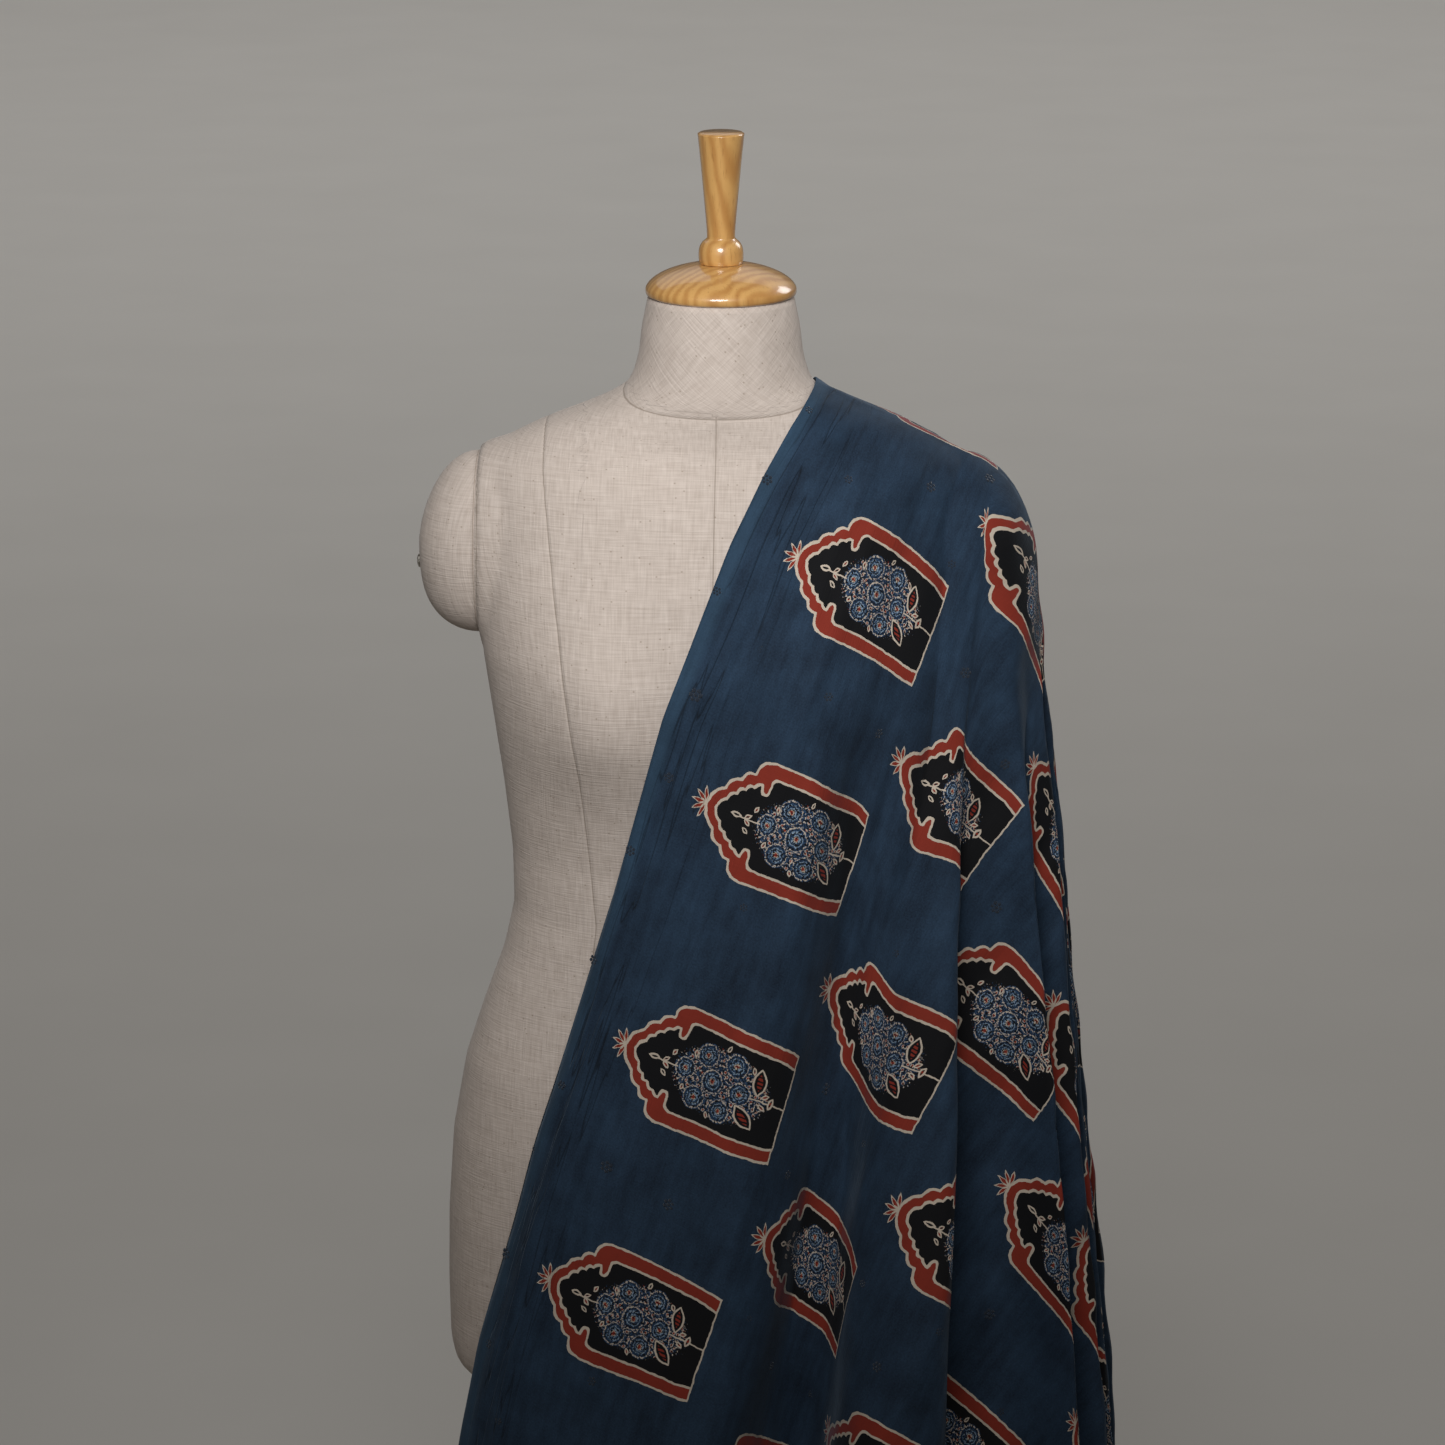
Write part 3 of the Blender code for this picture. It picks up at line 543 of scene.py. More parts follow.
def fall_lines(rows, along, gap):
    """Points down the fall lines at places along REF_HEIGHT, and the run from the shoulder."""
    panel, cone = pattern_sizes()
    folded = evened(curve_through(rows), FOLD_ROUNDING)
    plain = evened(folded, FALL_ROUNDING)
    even = np.linspace(0, panel + cone, EVEN_STEPS)
    offset = folded - plain
    plain = np.stack([np.interp(along, even, plain[:, k]) for k in (0, 1)], axis=1)
    columns = len(along)
    share = np.clip(along / panel, 0, 1)
    round_arm = np.clip((along - panel) / cone, 0, 1)
    top_x = NECK_X + (ARM_END_X - NECK_X) * share + CAP_REACH * round_arm
    ridge_x = np.linspace(NECK_X, ARM_END_X + CAP_REACH, RIDGE_STEPS)
    top_z = np.interp(top_x, ridge_x, upper_hull(ridge_x, ridge_height(ridge_x))) + gap
    beyond = plain[:, 0] > ARM_BASE_X
    foot_x = np.where(beyond, ARM_BASE_X, plain[:, 0])
    away = np.stack([plain[:, 0] - foot_x, plain[:, 1]], axis=1)
    reach_ref = np.hypot(away[:, 0], away[:, 1])
    direction = away / reach_ref[:, None]
    sweep = np.array(SELVEDGE_SWEEP)
    lines = np.zeros((columns, LEVELS, 3))
    drop = np.linspace(0, 1, LEVELS) ** LEVEL_PACKING * DEEPEST
    above = drop < 1.0
    begin, hold, leave, end = DRIFT_PLACES
    drift = smooth_step(begin, hold, along) * (1 - smooth_step(leave, end, along)) * FOLD_DRIFT
    swell = np.sin(math.pi * np.clip(drop / SWELL_END, 0, 1) ** SWELL_LEAN) * SIDE_SWELL
    for i in range(columns):
        drop_full = top_z[i] - REF_HEIGHT
        z = top_z[i] - drop * drop_full
        across = np.interp(drop, sweep[:, 0], sweep[:, 1])
        across = share[i] * drop + (1 - share[i]) * across
        base_x = top_x[i] + (foot_x[i] - top_x[i]) * across
        side_x = np.full(LEVELS, direction[i, 0])
        side_y = np.full(LEVELS, direction[i, 1])
        form = form_reach(base_x, side_x, side_y, z - gap) + gap
        form[0] = 0.0
        heights = np.append(z[above], REF_HEIGHT)
        outline = upper_hull(-heights, np.append(form[above], reach_ref[i]))
        slope = ((outline[-1] - outline[-SLOPE_LEVELS])
                 / (heights[-1] - heights[-SLOPE_LEVELS]))
        reach = np.where(above, np.interp(-z, -heights, outline)
                         + swell * smooth_step(0, SWELL_ROOM, round_arm[i]),
                         reach_ref[i] + slope * (z - REF_HEIGHT))
        growth = drop * smooth_step(FOLD_START, FOLD_FULL, drop)
        growth = np.where(above, growth, 1 + FOLD_SPREAD_BELOW * (drop - 1))
        place = along[i] + drift[i] * (1 - smooth_step(FOLD_START, DRIFT_END, drop))
        x = base_x + reach * side_x + growth * np.interp(place, even, offset[:, 0])
        y = reach * side_y + growth * np.interp(place, even, offset[:, 1])
        span = np.hypot(x - base_x, y)
        inner = np.maximum(span, 1e-6)
        need = form_reach(base_x, (x - base_x) / inner, y / inner, z - gap) + gap
        push = np.where(drop > 0, np.maximum(need / inner, 1.0), 1.0)
        lines[i, :, 0] = base_x + (x - base_x) * push
        lines[i, :, 1] = y * push
        lines[i, :, 2] = z
    parts = np.linalg.norm(np.diff(lines, axis=1), axis=2)
    run = np.concatenate([np.zeros((columns, 1)), np.cumsum(parts, axis=1)], axis=1)
    return lines, run


def cut_place(along):
    """Start, direction against the warp and length of a fall line on the cut cloth."""
    panel, cone = pattern_sizes()
    if along <= panel:
        share = along / panel
        start = SHOULDER_WIDTH * share
        angle = math.atan(share * math.tan(FALL_ANGLE))
    else:
        start = SHOULDER_WIDTH + CAP_WIDTH * (along - panel) / cone
        angle = FALL_ANGLE + (along - panel) / cone * (math.pi / 2 - FALL_ANGLE)
    to_hem = CLOTH_LENGTH / 2 / max(math.cos(angle), 1e-6)
    to_selvedge = (CLOTH_WIDTH - start) / max(math.sin(angle), 1e-6)
    return start, angle, min(to_hem, to_selvedge)


def column_places(panel_steps, side_steps):
    """Places of the fall lines on both halves, one of them at the cut cloth's outer corner."""
    panel, cone = pattern_sizes()
    side = panel + cone * np.linspace(0, 1, side_steps + 1)
    along = np.concatenate([np.linspace(0, panel, panel_steps, endpoint=False), side])
    place = panel
    for _ in range(CORNER_ROUNDS):
        start = cut_place(place)[0]
        corner = math.atan2(CLOTH_WIDTH - start, CLOTH_LENGTH / 2)
        place = panel + cone * (corner - FALL_ANGLE) / (math.pi / 2 - FALL_ANGLE)
    along[np.argmin(np.abs(along - place))] = place
    return along


def cloth_grid(rows, side, along, steps, gap):
    """One half as a grid of places, a column down each fall line, and of cut places."""
    lines, run = fall_lines(rows, along, gap)
    places = np.zeros((len(along), steps + 1, 3))
    cut = np.zeros((len(along), steps + 1, 2))
    for i, place in enumerate(along):
        start, angle, length = cut_place(place)
        distance = length * np.linspace(0, 1, steps + 1) ** DROP_PACKING
        for k in range(3):
            places[i, :, k] = np.interp(distance, run[i], lines[i, :, k])
        cut[i, :, 0] = side * distance * math.cos(angle)
        cut[i, :, 1] = start + distance * math.sin(angle)
    return places, cut


def outward(places, side):
    """Unit normals of a half's grid, on its outer face."""
    normal = np.cross(np.gradient(places, axis=0), np.gradient(places, axis=1)) * -side
    return normal / np.maximum(np.linalg.norm(normal, axis=2, keepdims=True), 1e-12)


def soft_waves(cut):
    """Small unevenness of worn cotton in metres: long waves down the warp, and soft dents."""
    u, v = cut[..., 0], cut[..., 1]
    near_edge = np.exp(-(v / EDGE_REACH) ** 2)
    wave = EDGE_WAVE * near_edge * np.sin(v * 290 + 1.6 * np.sin(u * 9.0) + 0.5 * np.sin(u * 31))
    wave = wave + LONG_WAVE * np.sin(v * 95 + 2.0 * np.sin(u * 5.0 + v * 3)) * np.sin(u * 11 + 1.0)
    wave = wave + DENT * np.sin(u * 37 + 3 * np.sin(v * 21)) * np.sin(v * 43 + u * 8)
    return wave


def pressed(cut):
    """Height in metres of the creases at places on the cut cloth."""
    total = np.zeros(cut.shape[:-1])
    for start, end, height, width in CREASES:
        start, end = np.array(start), np.array(end)
        line = end - start
        share = np.clip(((cut - start) @ line) / (line @ line), 0, 1)
        gap = np.linalg.norm(cut - start - share[..., None] * line, axis=-1)
        swell = np.sin(math.pi * np.clip(share, *CREASE_ENDS))
        total += height * np.exp(-(gap / width) ** 2) * swell
    return total


def on_ground(cut):
    """1 on the plain indigo ground of the cut cloth and 0 on a motif."""
    u, v = cut[..., 0], cut[..., 1]
    column = np.floor((v - TIP_START + TIP_ROOM) / COLUMN_PITCH)
    row = (u - ROW_START) / ROW_PITCH - 0.5 * (column % 2)
    aside = np.abs(row - np.round(row)) * ROW_PITCH * MM
    plain = (aside > MOTIF_HALF_WIDTH + KNOT_ROOM) | (column < 0) | (column >= COLUMNS)
    return plain.astype(float)


# Finishes
def scalloped(edge):
    """Points along a cusped edge, its scallops rounded by their bulge."""
    points = [edge[0][:2]]
    for (s0, w0, _), (s1, w1, bulge) in zip(edge, edge[1:]):
        steps = SCALLOP_STEPS if bulge else 1
        run = math.hypot(s1 - s0, w1 - w0)
        for k in range(1, steps + 1):
            t = k / steps
            rise = bulge * math.sin(math.pi * t)
            points.append((s0 + (s1 - s0) * t - rise * (w1 - w0) / run,
                           w0 + (w1 - w0) * t + rise * (s1 - s0) / run))
    return points


def edge_bounds(tree, down, edge):
    """Least and greatest half width of a cusped edge within half a line of a place."""
    points = sorted((s / MOTIF_LENGTH, (w - EDGE_LOW) / EDGE_SPAN) for s, w in scalloped(edge))
    if points[0][0] > 0:
        points.insert(0, (0.0, 0.0))
    widths = []
    for offset in (-LINE / 2, 0.0, LINE / 2):
        share = put(tree, MATHS, down, 1 / MOTIF_LENGTH, offset / MOTIF_LENGTH,
                    operation="MULTIPLY_ADD", use_clamp=True)
        curve = put(tree, "ShaderNodeFloatCurve", inputs={"Value": share})
        line = curve.mapping.curves[0]
        line.points[0].location = points[0]
        line.points[1].location = (1.0, points[-1][1])
        for point in points[1:-1]:
            line.points.new(*point)
        for point in line.points:
            point.handle_type = "VECTOR"
        curve.mapping.update()
        widths.append(put(tree, MATHS, curve, EDGE_SPAN, EDGE_LOW, operation="MULTIPLY_ADD"))
    low, high = (joined(tree, operation, widths) for operation in ("MINIMUM", "MAXIMUM"))
    return (put(tree, MATHS, low, LINE / 2, operation="SUBTRACT"),
            put(tree, MATHS, high, LINE / 2, operation="ADD"))


def leaf_place(tree, place, leaf):
    """How far inside a pointed oval a place lies: 1 on its midrib, 0 on its edge."""
    _, down, aside, turn, length, width, _ = leaf
    own = put(tree, "ShaderNodeMapping", place, (down, aside, 0),
              (0, 0, math.radians(turn)), (length, width, 1), vector_type="TEXTURE")
    parts = put(tree, "ShaderNodeSeparateXYZ", own)
    bow = put(tree, MATHS, parts.outputs[0], parts.outputs[0], operation="MULTIPLY")
    rib = put(tree, MATHS, parts.outputs[1], operation="ABSOLUTE")
    return put(tree, MATHS, 1.0, put(tree, MATHS, bow, rib, operation="ADD"), operation="SUBTRACT")


def motif_place(tree, warp, weft):
    """A place inside its motif in millimetres, and 1 on the columns that are printed.

    The place is given down from the motif's tip, aside from its axis, and as both together.
    """
    from_first = put(tree, MATHS, weft, TIP_START - TIP_ROOM, operation="SUBTRACT")
    column = put(tree, MATHS, put(tree, MATHS, from_first, COLUMN_PITCH, operation="DIVIDE"),
                 operation="FLOOR")
    tip = put(tree, MATHS, column, COLUMN_PITCH, TIP_START, operation="MULTIPLY_ADD")
    down = put(tree, MATHS, put(tree, MATHS, weft, tip, operation="SUBTRACT"), MM,
               operation="MULTIPLY")
    odd = put(tree, MATHS, column, 2.0, operation="FLOORED_MODULO")
    shift = put(tree, MATHS, odd, -ROW_PITCH / 2, -ROW_START, operation="MULTIPLY_ADD")
    row = put(tree, MATHS, put(tree, MATHS, warp, shift, operation="ADD"),
              ROW_PITCH / 2, -ROW_PITCH / 2, operation="WRAP")
    aside = put(tree, MATHS, row, -MM, operation="MULTIPLY")
    place = put(tree, "ShaderNodeCombineXYZ", down, aside, 0.0)
    on_column = put(tree, MATHS, column, (COLUMNS - 1) / 2, COLUMNS / 2, operation="COMPARE")
    return down, aside, place, on_column


def niche_masks(tree, down, away, on_column):
    """Masks of the niche, its band, its inner line and its field, and of the line at its base."""
    outer_low, outer_high = edge_bounds(tree, down, OUTER_EDGE)
    inner_low, inner_high = edge_bounds(tree, down, INNER_EDGE)
    below_tip = put(tree, MATHS, down, 0.0, operation="GREATER_THAN")
    above_base = put(tree, MATHS, down, MOTIF_LENGTH, operation="LESS_THAN")
    in_length = joined(tree, "MULTIPLY", (below_tip, above_base, on_column))
    masks = []
    for bound in (outer_high, outer_low, inner_high, inner_low):
        within = put(tree, MATHS, away, bound, operation="LESS_THAN")
        masks.append(put(tree, MATHS, in_length, within, operation="MULTIPLY"))
    at_base = put(tree, MATHS, down, MOTIF_LENGTH - BASE_LINE, operation="GREATER_THAN")
    return *masks, put(tree, MATHS, at_base, masks[0], operation="MULTIPLY")


def lotus_masks(tree, place, down, aside, on_column):
    """Masks of the small lotus outside the tip and of the red in its pointed petals."""
    length = put(tree, VECTOR, place, operation="LENGTH").outputs["Value"]
    behind = put(tree, MATHS, down, -1.0, operation="MULTIPLY")
    spread = put(tree, MATHS, aside, behind, operation="ARCTAN2")
    turned = put(tree, MATHS, spread, PETAL_TURN, operation="PINGPONG")
    side = put(tree, MATHS, PETAL_TURN, turned, operation="SUBTRACT")
    reach = put(tree, MATHS, side, PETAL_POINT / PETAL_TURN, PETAL_ROOT,
                operation="MULTIPLY_ADD")
    facing = put(tree, MATHS, put(tree, MATHS, spread, operation="ABSOLUTE"), LOTUS_SPREAD,
                 operation="LESS_THAN")
    inside = put(tree, MATHS, reach, length, operation="SUBTRACT")
    on_petal = put(tree, MATHS, inside, 0.0, operation="GREATER_THAN")
    lotus = joined(tree, "MULTIPLY", (on_petal, facing, on_column))
    between = put(tree, MATHS, put(tree, MATHS, side, length, operation="MULTIPLY"), PETAL_GAP,
                  operation="GREATER_THAN")
    core = put(tree, MATHS, inside, PETAL_LINE, operation="GREATER_THAN")
    return lotus, joined(tree, "MULTIPLY", (core, between, lotus))


def bouquet_layers(tree, place, dyes):
    """Masks and colours of the bouquet: buds and curls packed between the ringed roses."""
    red, cream, black, blue, pale_blue = dyes
    gaps = []
    for down, aside, radius in ROSES:
        gap = put(tree, VECTOR, place, (down, aside, 0), operation="DISTANCE").outputs["Value"]
        gaps.append(put(tree, MATHS, gap, ROSE_EDGE / radius, operation="MULTIPLY"))
    nearest = joined(tree, "MINIMUM", gaps)
    on_rose = put(tree, MATHS, nearest, ROSE_EDGE, operation="LESS_THAN")
    ruffle = put(tree, NOISE, place, inputs={"Scale": 0.55, "Detail": 2.0, "Roughness": 0.7})
    uneven = put(tree, MATHS, ruffle, 0.5, operation="SUBTRACT")
    ringed = put(tree, MATHS, uneven, 4.6, nearest, operation="MULTIPLY_ADD")
    rings = put(tree, "ShaderNodeValToRGB", put(tree, MATHS, ringed, 1 / ROSE_EDGE,
                                                operation="MULTIPLY"))
    seeds = put(tree, "ShaderNodeTexVoronoi", place, voronoi_dimensions="2D",
                inputs={"Scale": 1 / BUD_PITCH, "Randomness": 0.85})
    buds = put(tree, "ShaderNodeValToRGB", seeds.outputs["Distance"])
    for ramp, stops in (
            (rings, ((0.0, red), (0.15, cream), (0.21, black), (0.28, pale_blue), (0.36, blue),
                     (0.46, black), (0.53, pale_blue), (0.60, blue), (0.70, black),
                     (0.76, blue), (0.84, cream), (0.92, blue))),
            (buds, ((0.0, red), (0.17, cream), (0.24, blue), (0.38, black), (0.50, blue)))):
        ramp.color_ramp.interpolation = "CONSTANT"
        ramp.color_ramp.elements[0].color = stops[0][1]
        ramp.color_ramp.elements[1].position = stops[1][0]
        ramp.color_ramp.elements[1].color = stops[1][1]
        for position, colour in stops[2:]:
            ramp.color_ramp.elements.new(position).color = colour
    oval = put(tree, "ShaderNodeMapping", place, (*BOUQUET_CENTRE, 0), (0, 0, 0),
               (*BOUQUET_SIZE, 1), vector_type="TEXTURE")
    oval_gap = put(tree, VECTOR, oval, operation="LENGTH").outputs["Value"]
    ragged = put(tree, MATHS, uneven, 0.7, oval_gap, operation="MULTIPLY_ADD")
    on_oval = put(tree, MATHS, ragged, 1.0, operation="LESS_THAN")
    # The block's lines break off here and there, and curls fill what the flowers leave
    broken = put(tree, NOISE, place, inputs={"Scale": 0.62, "Detail": 1.0})
    on_flowers = put(tree, MATHS, on_oval, on_rose, operation="MAXIMUM")
    breaks = put(tree, MATHS, put(tree, MATHS, broken, 0.565, operation="GREATER_THAN"),
                 on_flowers, operation="MULTIPLY")
    cells = put(tree, "ShaderNodeTexVoronoi", place, voronoi_dimensions="2D",
                feature="DISTANCE_TO_EDGE", inputs={"Scale": 1 / CURL_PITCH, "Randomness": 0.9})
    curled = put(tree, MATHS, cells, 0.075, operation="LESS_THAN")
    some = put(tree, MATHS, broken, 0.47, operation="LESS_THAN")
    curls = joined(tree, "MULTIPLY", (curled, some, on_oval))
    return (on_oval, buds), (curls, cream), (on_rose, rings), (breaks, black)


def leaf_layers(tree, place, down, aside, away, dyes):
    """Masks and colours of the sprig's stem, and of its leaves and buds with their berries."""
    red, cream, black = dyes[:3]
    parts = []
    for low, high in STEM_PARTS:
        thin = put(tree, MATHS, away, STEM_HALF_WIDTH, operation="LESS_THAN")
        start = put(tree, MATHS, down, low, operation="GREATER_THAN")
        end = put(tree, MATHS, down, high, operation="LESS_THAN")
        parts.append(joined(tree, "MULTIPLY", (thin, start, end)))
    leaves, hearts, cores = [], [], []
    for leaf in LEAVES:
        depth = leaf_place(tree, place, leaf)
        width, has_red = leaf[5], leaf[6]
        leaves.append(put(tree, MATHS, depth, 0.0, operation="GREATER_THAN"))
        hearts.append(put(tree, MATHS, depth, min(LEAF_CORE, LEAF_LINE / width),
                          operation="GREATER_THAN"))
        if has_red:
            cores.append(put(tree, MATHS, depth, LEAF_CORE, operation="GREATER_THAN"))
    # The red is broken into berries 3 mm apart
    ripple = put(tree, MATHS, put(tree, MATHS, aside, 2.1, operation="MULTIPLY"),
                 operation="SINE")
    berry = put(tree, MATHS, ripple, -0.25, operation="GREATER_THAN")
    berries = put(tree, MATHS, joined(tree, "MAXIMUM", cores), berry, operation="MULTIPLY")
    stem, leaf, heart = (joined(tree, "MAXIMUM", masks) for masks in (parts, leaves, hearts))
    return (stem, cream), (leaf, cream), (heart, black), (berries, red)


def indigo_ground(tree, metres, settings):
    """Unevenly dyed ground: clouds, streaks down the warp and faint specks. And its shading."""
    streak_place = put(tree, "ShaderNodeMapping", metres, (0, 0, 0), (0, 0, 0), (22.0, 120.0, 1.0))
    streaks = put(tree, NOISE, streak_place, inputs={"Scale": 1.0, "Detail": 4.0})
    clouds = put(tree, NOISE, metres, inputs={"Scale": 21.0, "Detail": 5.0, "Roughness": 0.65})
    specks = put(tree, NOISE, metres, inputs={"Scale": 700.0, "Detail": 2.0})
    tone = put(tree, MATHS, streaks, 0.34, put(tree, MATHS, clouds, 0.48, operation="MULTIPLY"),
               operation="MULTIPLY_ADD")
    tone = put(tree, MATHS, specks, 0.38, tone, operation="MULTIPLY_ADD")
    dyed = put(tree, RANGE, tone, 0.42, 0.80, 0.0, 1.0)
    deep, light = linear(settings.indigo_deep), linear(settings.indigo_light)
    ground = put(tree, MIX, inputs={0: dyed, 6: deep, 7: light}, data_type="RGBA").outputs[2]
    return ground, put(tree, RANGE, clouds, 0.25, 0.75, 0.80, 1.0)


def cotton_relief(tree, metres, weft):
    """Bump of threads, creases and soft folds, and a mask of painted shade in the bottoms of the
    sharp creases.

    Threads are 0.45 mm apart in the real cloth and drawn at 1.1 mm so that they show. The fine
    sharp creases run down the warp, most of them 10 to 70 mm from the inner selvedge, where
    the length was folded and ironed.
    """
    warp_threads = put(tree, "ShaderNodeMapping", metres, (0, 0, 0), (0, 0, 0), (60.0, 900.0, 1))
    weft_threads = put(tree, "ShaderNodeMapping", metres, (0, 0, 0), (0, 0, 0), (900.0, 60.0, 1))
    weave = put(tree, MATHS, put(tree, NOISE, warp_threads, inputs={"Scale": 1.0}),
                put(tree, NOISE, weft_threads, inputs={"Scale": 1.0}), operation="ADD")
    crease_place = put(tree, "ShaderNodeMapping", metres, (0.3, 0, 0), (0, 0, 0), (5.0, 78.0, 1))
    creases = put(tree, NOISE, crease_place, inputs={"Scale": 1.0, "Detail": 2.0})
    off_line = put(tree, MATHS, put(tree, MATHS, creases, 0.5, operation="SUBTRACT"),
                   operation="ABSOLUTE")
    lines = put(tree, RANGE, off_line, 0.0, 0.030, 0.0, 1.0, interpolation_type="SMOOTHSTEP")
    near_edge = put(tree, RANGE, weft, 0.072, 0.040, 0.10, 1.0, interpolation_type="SMOOTHSTEP")
    off_edge = put(tree, RANGE, weft, 0.006, 0.014, 0.0, 1.0)
    share = put(tree, MATHS, near_edge, off_edge, operation="MULTIPLY")
    # Painted shade in the bottoms of the sharp creases: up to 60 percent darker, most near the
    # inner selvedge
    sharp = put(tree, MATHS, put(tree, RANGE, off_line, 0.001, 0.012, 0.60, 0.0), share,
                operation="MULTIPLY")
    fold_place = put(tree, "ShaderNodeMapping", metres, (0, 0.4, 0), (0, 0, 0), (1.5, 12.0, 1))
    folds = put(tree, "ShaderNodeBump", inputs={
        "Height": put(tree, NOISE, fold_place, inputs={"Scale": 1.0, "Detail": 1.5}),
        "Strength": 1.0, "Distance": 0.034})
    lumps = put(tree, NOISE, metres, inputs={"Scale": 38.0, "Detail": 3.0})
    raised = put(tree, MATHS, put(tree, MATHS, lines, share, operation="MULTIPLY"), 0.30,
                 put(tree, MATHS, lumps, 0.45, operation="MULTIPLY"), operation="MULTIPLY_ADD")
    soft = put(tree, "ShaderNodeBump", inputs={
        "Height": raised, "Strength": 0.6, "Distance": 0.004, "Normal": folds})
    fine = put(tree, "ShaderNodeBump", inputs={
        "Height": weave, "Strength": 0.35, "Distance": 0.0005, "Normal": soft})
    return fine, sharp


def printed_cotton(settings):
    """Plain woven cotton, resist printed with blocks and dyed in indigo and madder (ajrakh).

    The eye sees a soft, matt, mottled blue with long faint streaks down the warp, dark niches
    with a madder band between cream resist lines, and blue bouquets on black.
    """
    finish, tree = new_material("ajrakh printed cotton")
    cut = put(tree, "ShaderNodeUVMap", uv_map="cut")
    metres = put(tree, "ShaderNodeMapping", cut, (-CLOTH_LENGTH / 2, 0, 0), (0, 0, 0),
                 (CLOTH_LENGTH, CLOTH_WIDTH, 1))
    # A hand held block leaves a slightly wavering line: up to 1 mm over about 6 mm
    waver = put(tree, NOISE, metres, inputs={"Scale": 160.0, "Detail": 2.0})
    drift = put(tree, VECTOR, waver.outputs["Color"], (0.5, 0.5, 0.5), operation="SUBTRACT")
    small = put(tree, VECTOR, drift, inputs={"Scale": 0.0022}, operation="SCALE")
    placed = put(tree, VECTOR, metres, small, operation="ADD")
    axes = put(tree, "ShaderNodeSeparateXYZ", placed)
    warp, weft = axes.outputs[0], axes.outputs[1]
    down, aside, place, on_column = motif_place(tree, warp, weft)
    away = put(tree, MATHS, aside, operation="ABSOLUTE")

    niche, band, inner_line, field, base_line = niche_masks(tree, down, away, on_column)
    lotus, lotus_red = lotus_masks(tree, place, down, aside, on_column)
    dyes = [linear(code) for code in (settings.madder, settings.cream, settings.iron_black,
                                      settings.motif_blue, settings.pale_blue)]
    red, cream, black = dyes[:3]
    layers = [(niche, cream), (band, red), (inner_line, cream), (field, black),
              (base_line, cream)]
    for mask, dye in (*bouquet_layers(tree, place, dyes),
                      *leaf_layers(tree, place, down, aside, away, dyes)):
        layers.append((put(tree, MATHS, mask, field, operation="MULTIPLY"), dye))
    layers += [(lotus, cream), (lotus_red, red)]
    # The selvedge, 13 mm wide, took the dye less
    at_selvedge = put(tree, RANGE, weft, 0.009, 0.017, 0.26, 0.0)
    layers.append((at_selvedge, linear(SELVEDGE_BLUE)))
    colour, fade = indigo_ground(tree, metres, settings)
    for mask, dye in layers:
        colour = put(tree, MIX, inputs={0: mask, 6: colour, 7: dye}, data_type="RGBA").outputs[2]

    relief, sharp = cotton_relief(tree, metres, weft)
    # The painted crease shade and the ground's random fade, multiplied into the colour
    shadow = put(tree, MATHS, put(tree, MATHS, 1.0, sharp, operation="SUBTRACT"), fade,
                 operation="MULTIPLY")
    faded_and_crease_shaded = put(tree, MIX, inputs={0: 1.0, 6: colour, 7: shadow}, data_type="RGBA",
               blend_type="MULTIPLY").outputs[2]
    close_material(tree, faded_and_crease_shaded, 0.86, relief, Sheen_Weight=0.18, Sheen_Roughness=0.45,
                   Sheen_Tint=linear(NAP_BLUE), Specular_IOR_Level=0.25)
    return finish


def seam_attributes(mesh, values):
    """Signed distances from the seams, kept on the points in metres."""
    for name, value in values.items():
        attribute = mesh.attributes.new(name, "FLOAT", "POINT")
        attribute.data.foreach_set("value", np.asarray(value, np.float32))


def slub_weave(tree, place):
    """Height of the linen's crossing threads, with slubs that run 15 to 40 mm.

    The threads are 0.5 mm in the real cloth and drawn at 1.3 mm so that they show.
    """
    sides = []
    for across, along, offset in ((800.0, 46.0, 0.0), (46.0, 800.0, 7.0)):
        own = put(tree, "ShaderNodeMapping", place, (offset, offset, 0), (0, 0, 0),
                  (across, along, 1.0))
        thread = put(tree, NOISE, own, inputs={"Scale": 1.0, "Detail": 1.0})
        wide = put(tree, "ShaderNodeMapping", place, (offset, 3.0, 0), (0, 0, 0),
                   (across * 0.3, along * 1.3, 1.0))
        slub = put(tree, NOISE, wide, inputs={"Scale": 1.0, "Detail": 2.0})
        sides.append(put(tree, MATHS, slub, 0.8, thread, operation="MULTIPLY_ADD"))
    return put(tree, MATHS, *sides, operation="ADD")


def seam_distance(tree):
    """Distance in metres from the nearest seam of the form."""
    distances = []
    for name in SEAMS:
        seam = put(tree, "ShaderNodeAttribute", attribute_name=name)
        distances.append(put(tree, MATHS, seam.outputs["Fac"], operation="ABSOLUTE"))
    return joined(tree, "MINIMUM", distances)


